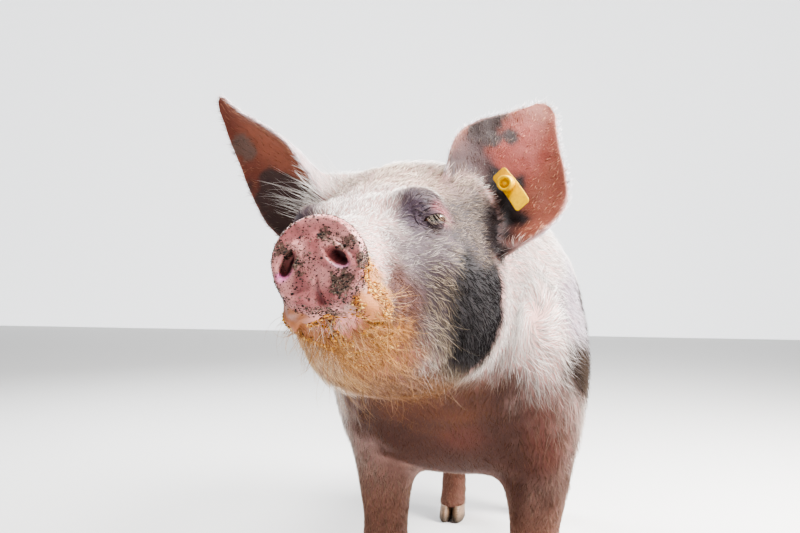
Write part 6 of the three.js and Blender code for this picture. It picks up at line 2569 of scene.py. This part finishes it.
    def build(self) -> None:
        """Makes every piece of hair, from the head backwards."""
        site = self.site
        head, ear, leg = site.head > 0.5, site.ear > 0.5, site.leg > 0.5
        muzzle = head & (site.s < MUZZLE_END)
        crown = head & ~muzzle & (site.v > CROWN_LEVEL)
        cheeks = head & ~muzzle & ~crown
        body = ~(head | ear | leg)
        neck = body & (site.points[:, 1] < NECK_END)
        rest = body & ~neck
        self.cover("coat_muzzle", muzzle, lift=14.0)
        self.cover("coat_crown", crown, lift=12.0)
        self.cover("coat_cheeks", cheeks, lift=11.0)
        self.cover("coat_ears", ear)
        self.cover("coat_neck", neck, lift=10.0)
        left = site.points[:, 0] > 0
        back = site.points[:, 1] > FLANK_END
        limbs = leg & ~ear & ~head
        for name, part in (("left", left), ("right", ~left)):
            self.cover(f"coat_flank_{name}", rest & part & ~back)
            self.cover(f"coat_rump_{name}", rest & part & back)
            self.cover(f"coat_foreleg_{name}", limbs & part & ~back)
            self.cover(f"coat_hindleg_{name}", limbs & part & back)
        self.whiskers()
        self.brow_tufts()
        self.ear_fringe()
        self.lashes()


# ---------------------------------------------------------------- floor, light and camera

# Square lamps: name, place, power in watts, size and colour. They look at the shoulders.
LAMPS = (
    ("key_light", (0.8, -0.7, 2.6), 175.0, 0.9, (1.0, 0.98, 0.95)),
    ("rim_light", (1.8, 0.3, 1.7), 200.0, 1.0, (1.0, 0.98, 0.96)),
    ("back_light", (-1.4, 1.4, 2.0), 70.0, 1.3, (0.93, 0.96, 1.0)),
    ("fill_light", (-0.9, -2.4, 1.2), 8.0, 2.2, (1.0, 0.97, 0.95)),
)
LAMP_TARGET = (-0.05, -0.15, 0.5)


@dataclass(frozen=True)
class Studio:
    """A pale floor, soft light from above and a camera a metre before the left fore foot."""

    camera_place: tuple[float, float, float] = (0.1375, -0.9931, 0.54)
    heading: float = 12.0
    lens: float = 35.0
    floor_size: float = 14.0
    backdrop: float = 5.0
    height: float = 6.0
    air: float = 0.34

    def sheet(self, name: str, corners: Sequence[tuple[float, float, float]], glow: float) -> None:
        """A large plain pale sheet, which glows a little where glow is more than 0."""
        data = bpy.data.meshes.new(name)
        data.from_pydata(corners, [], [(0, 1, 2, 3)])
        shader = Shader(name)
        shader.set(Base_Color=(0.66, 0.655, 0.645, 1), Roughness=0.85)
        shader.set(Emission_Color=(0.95, 0.97, 1.0, 1), Emission_Strength=glow)
        data.materials.append(shader.material)
        sheet = bpy.data.objects.new(name, data)
        bpy.context.scene.collection.objects.link(sheet)
        sheet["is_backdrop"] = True

    def lamp(
        self, name: str, place: tuple[float, float, float], power: float, size: float, colour: tuple
    ) -> None:
        """A square soft light that looks at the pig's shoulders."""
        data = bpy.data.lights.new(name, "AREA")
        data.energy, data.size, data.color = power, size, colour
        lamp = bpy.data.objects.new(name, data)
        lamp.location = place
        sight = Vector(LAMP_TARGET) - Vector(place)
        lamp.rotation_euler = sight.to_track_quat("-Z", "Y").to_euler()
        bpy.context.scene.collection.objects.link(lamp)

    def build(self) -> None:
        """Makes the floor, the lights, the pale surroundings and the camera."""
        scene = bpy.context.scene
        half, back = self.floor_size / 2, self.backdrop
        near, foot = ((-half, -half, 0), (half, -half, 0)), ((half, back, 0), (-half, back, 0))
        self.sheet("studio_floor", near + foot, 0.0)
        top = ((half, back, self.height), (-half, back, self.height))
        self.sheet("studio_backdrop", foot[::-1] + top, 1.3)
        for lamp in LAMPS:
            self.lamp(*lamp)
        world = bpy.data.worlds.new("studio_air")
        world.use_nodes = True
        inputs = world.node_tree.nodes["Background"].inputs
        inputs["Color"].default_value = (0.94, 0.96, 1.0, 1)
        inputs["Strength"].default_value = self.air
        scene.world = world
        scene.view_settings.look = "AgX - Medium High Contrast"
        data = bpy.data.cameras.new("camera")
        data.lens = self.lens
        camera = bpy.data.objects.new("camera", data)
        camera.location = np.array(self.camera_place) - SHIFT
        camera.rotation_euler = (math.pi / 2, 0, math.radians(self.heading))
        scene.collection.objects.link(camera)
        scene.camera = camera


def main() -> None:
    """Builds the pig piece by piece."""
    logging.basicConfig(level=logging.INFO, format="%(message)s")
    Studio().build()
    skin, furry, eyes = Body().build()
    Crumbs(skin, EarthFinish().material()).build()
    Coat(skin, furry, eyes, HairFinish().material()).build()
    horn = HornFinish().material()
    for leg in LEGS:
        Claws(leg, horn).build()
    Tag(TagFinish().material()).build()
    boxes = {"cad": CAD_BOX, "visual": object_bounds()}
    {key: [list(map(float, corner)) for corner in box] for key, box in boxes.items()}


if __name__ == "__main__":
    main()
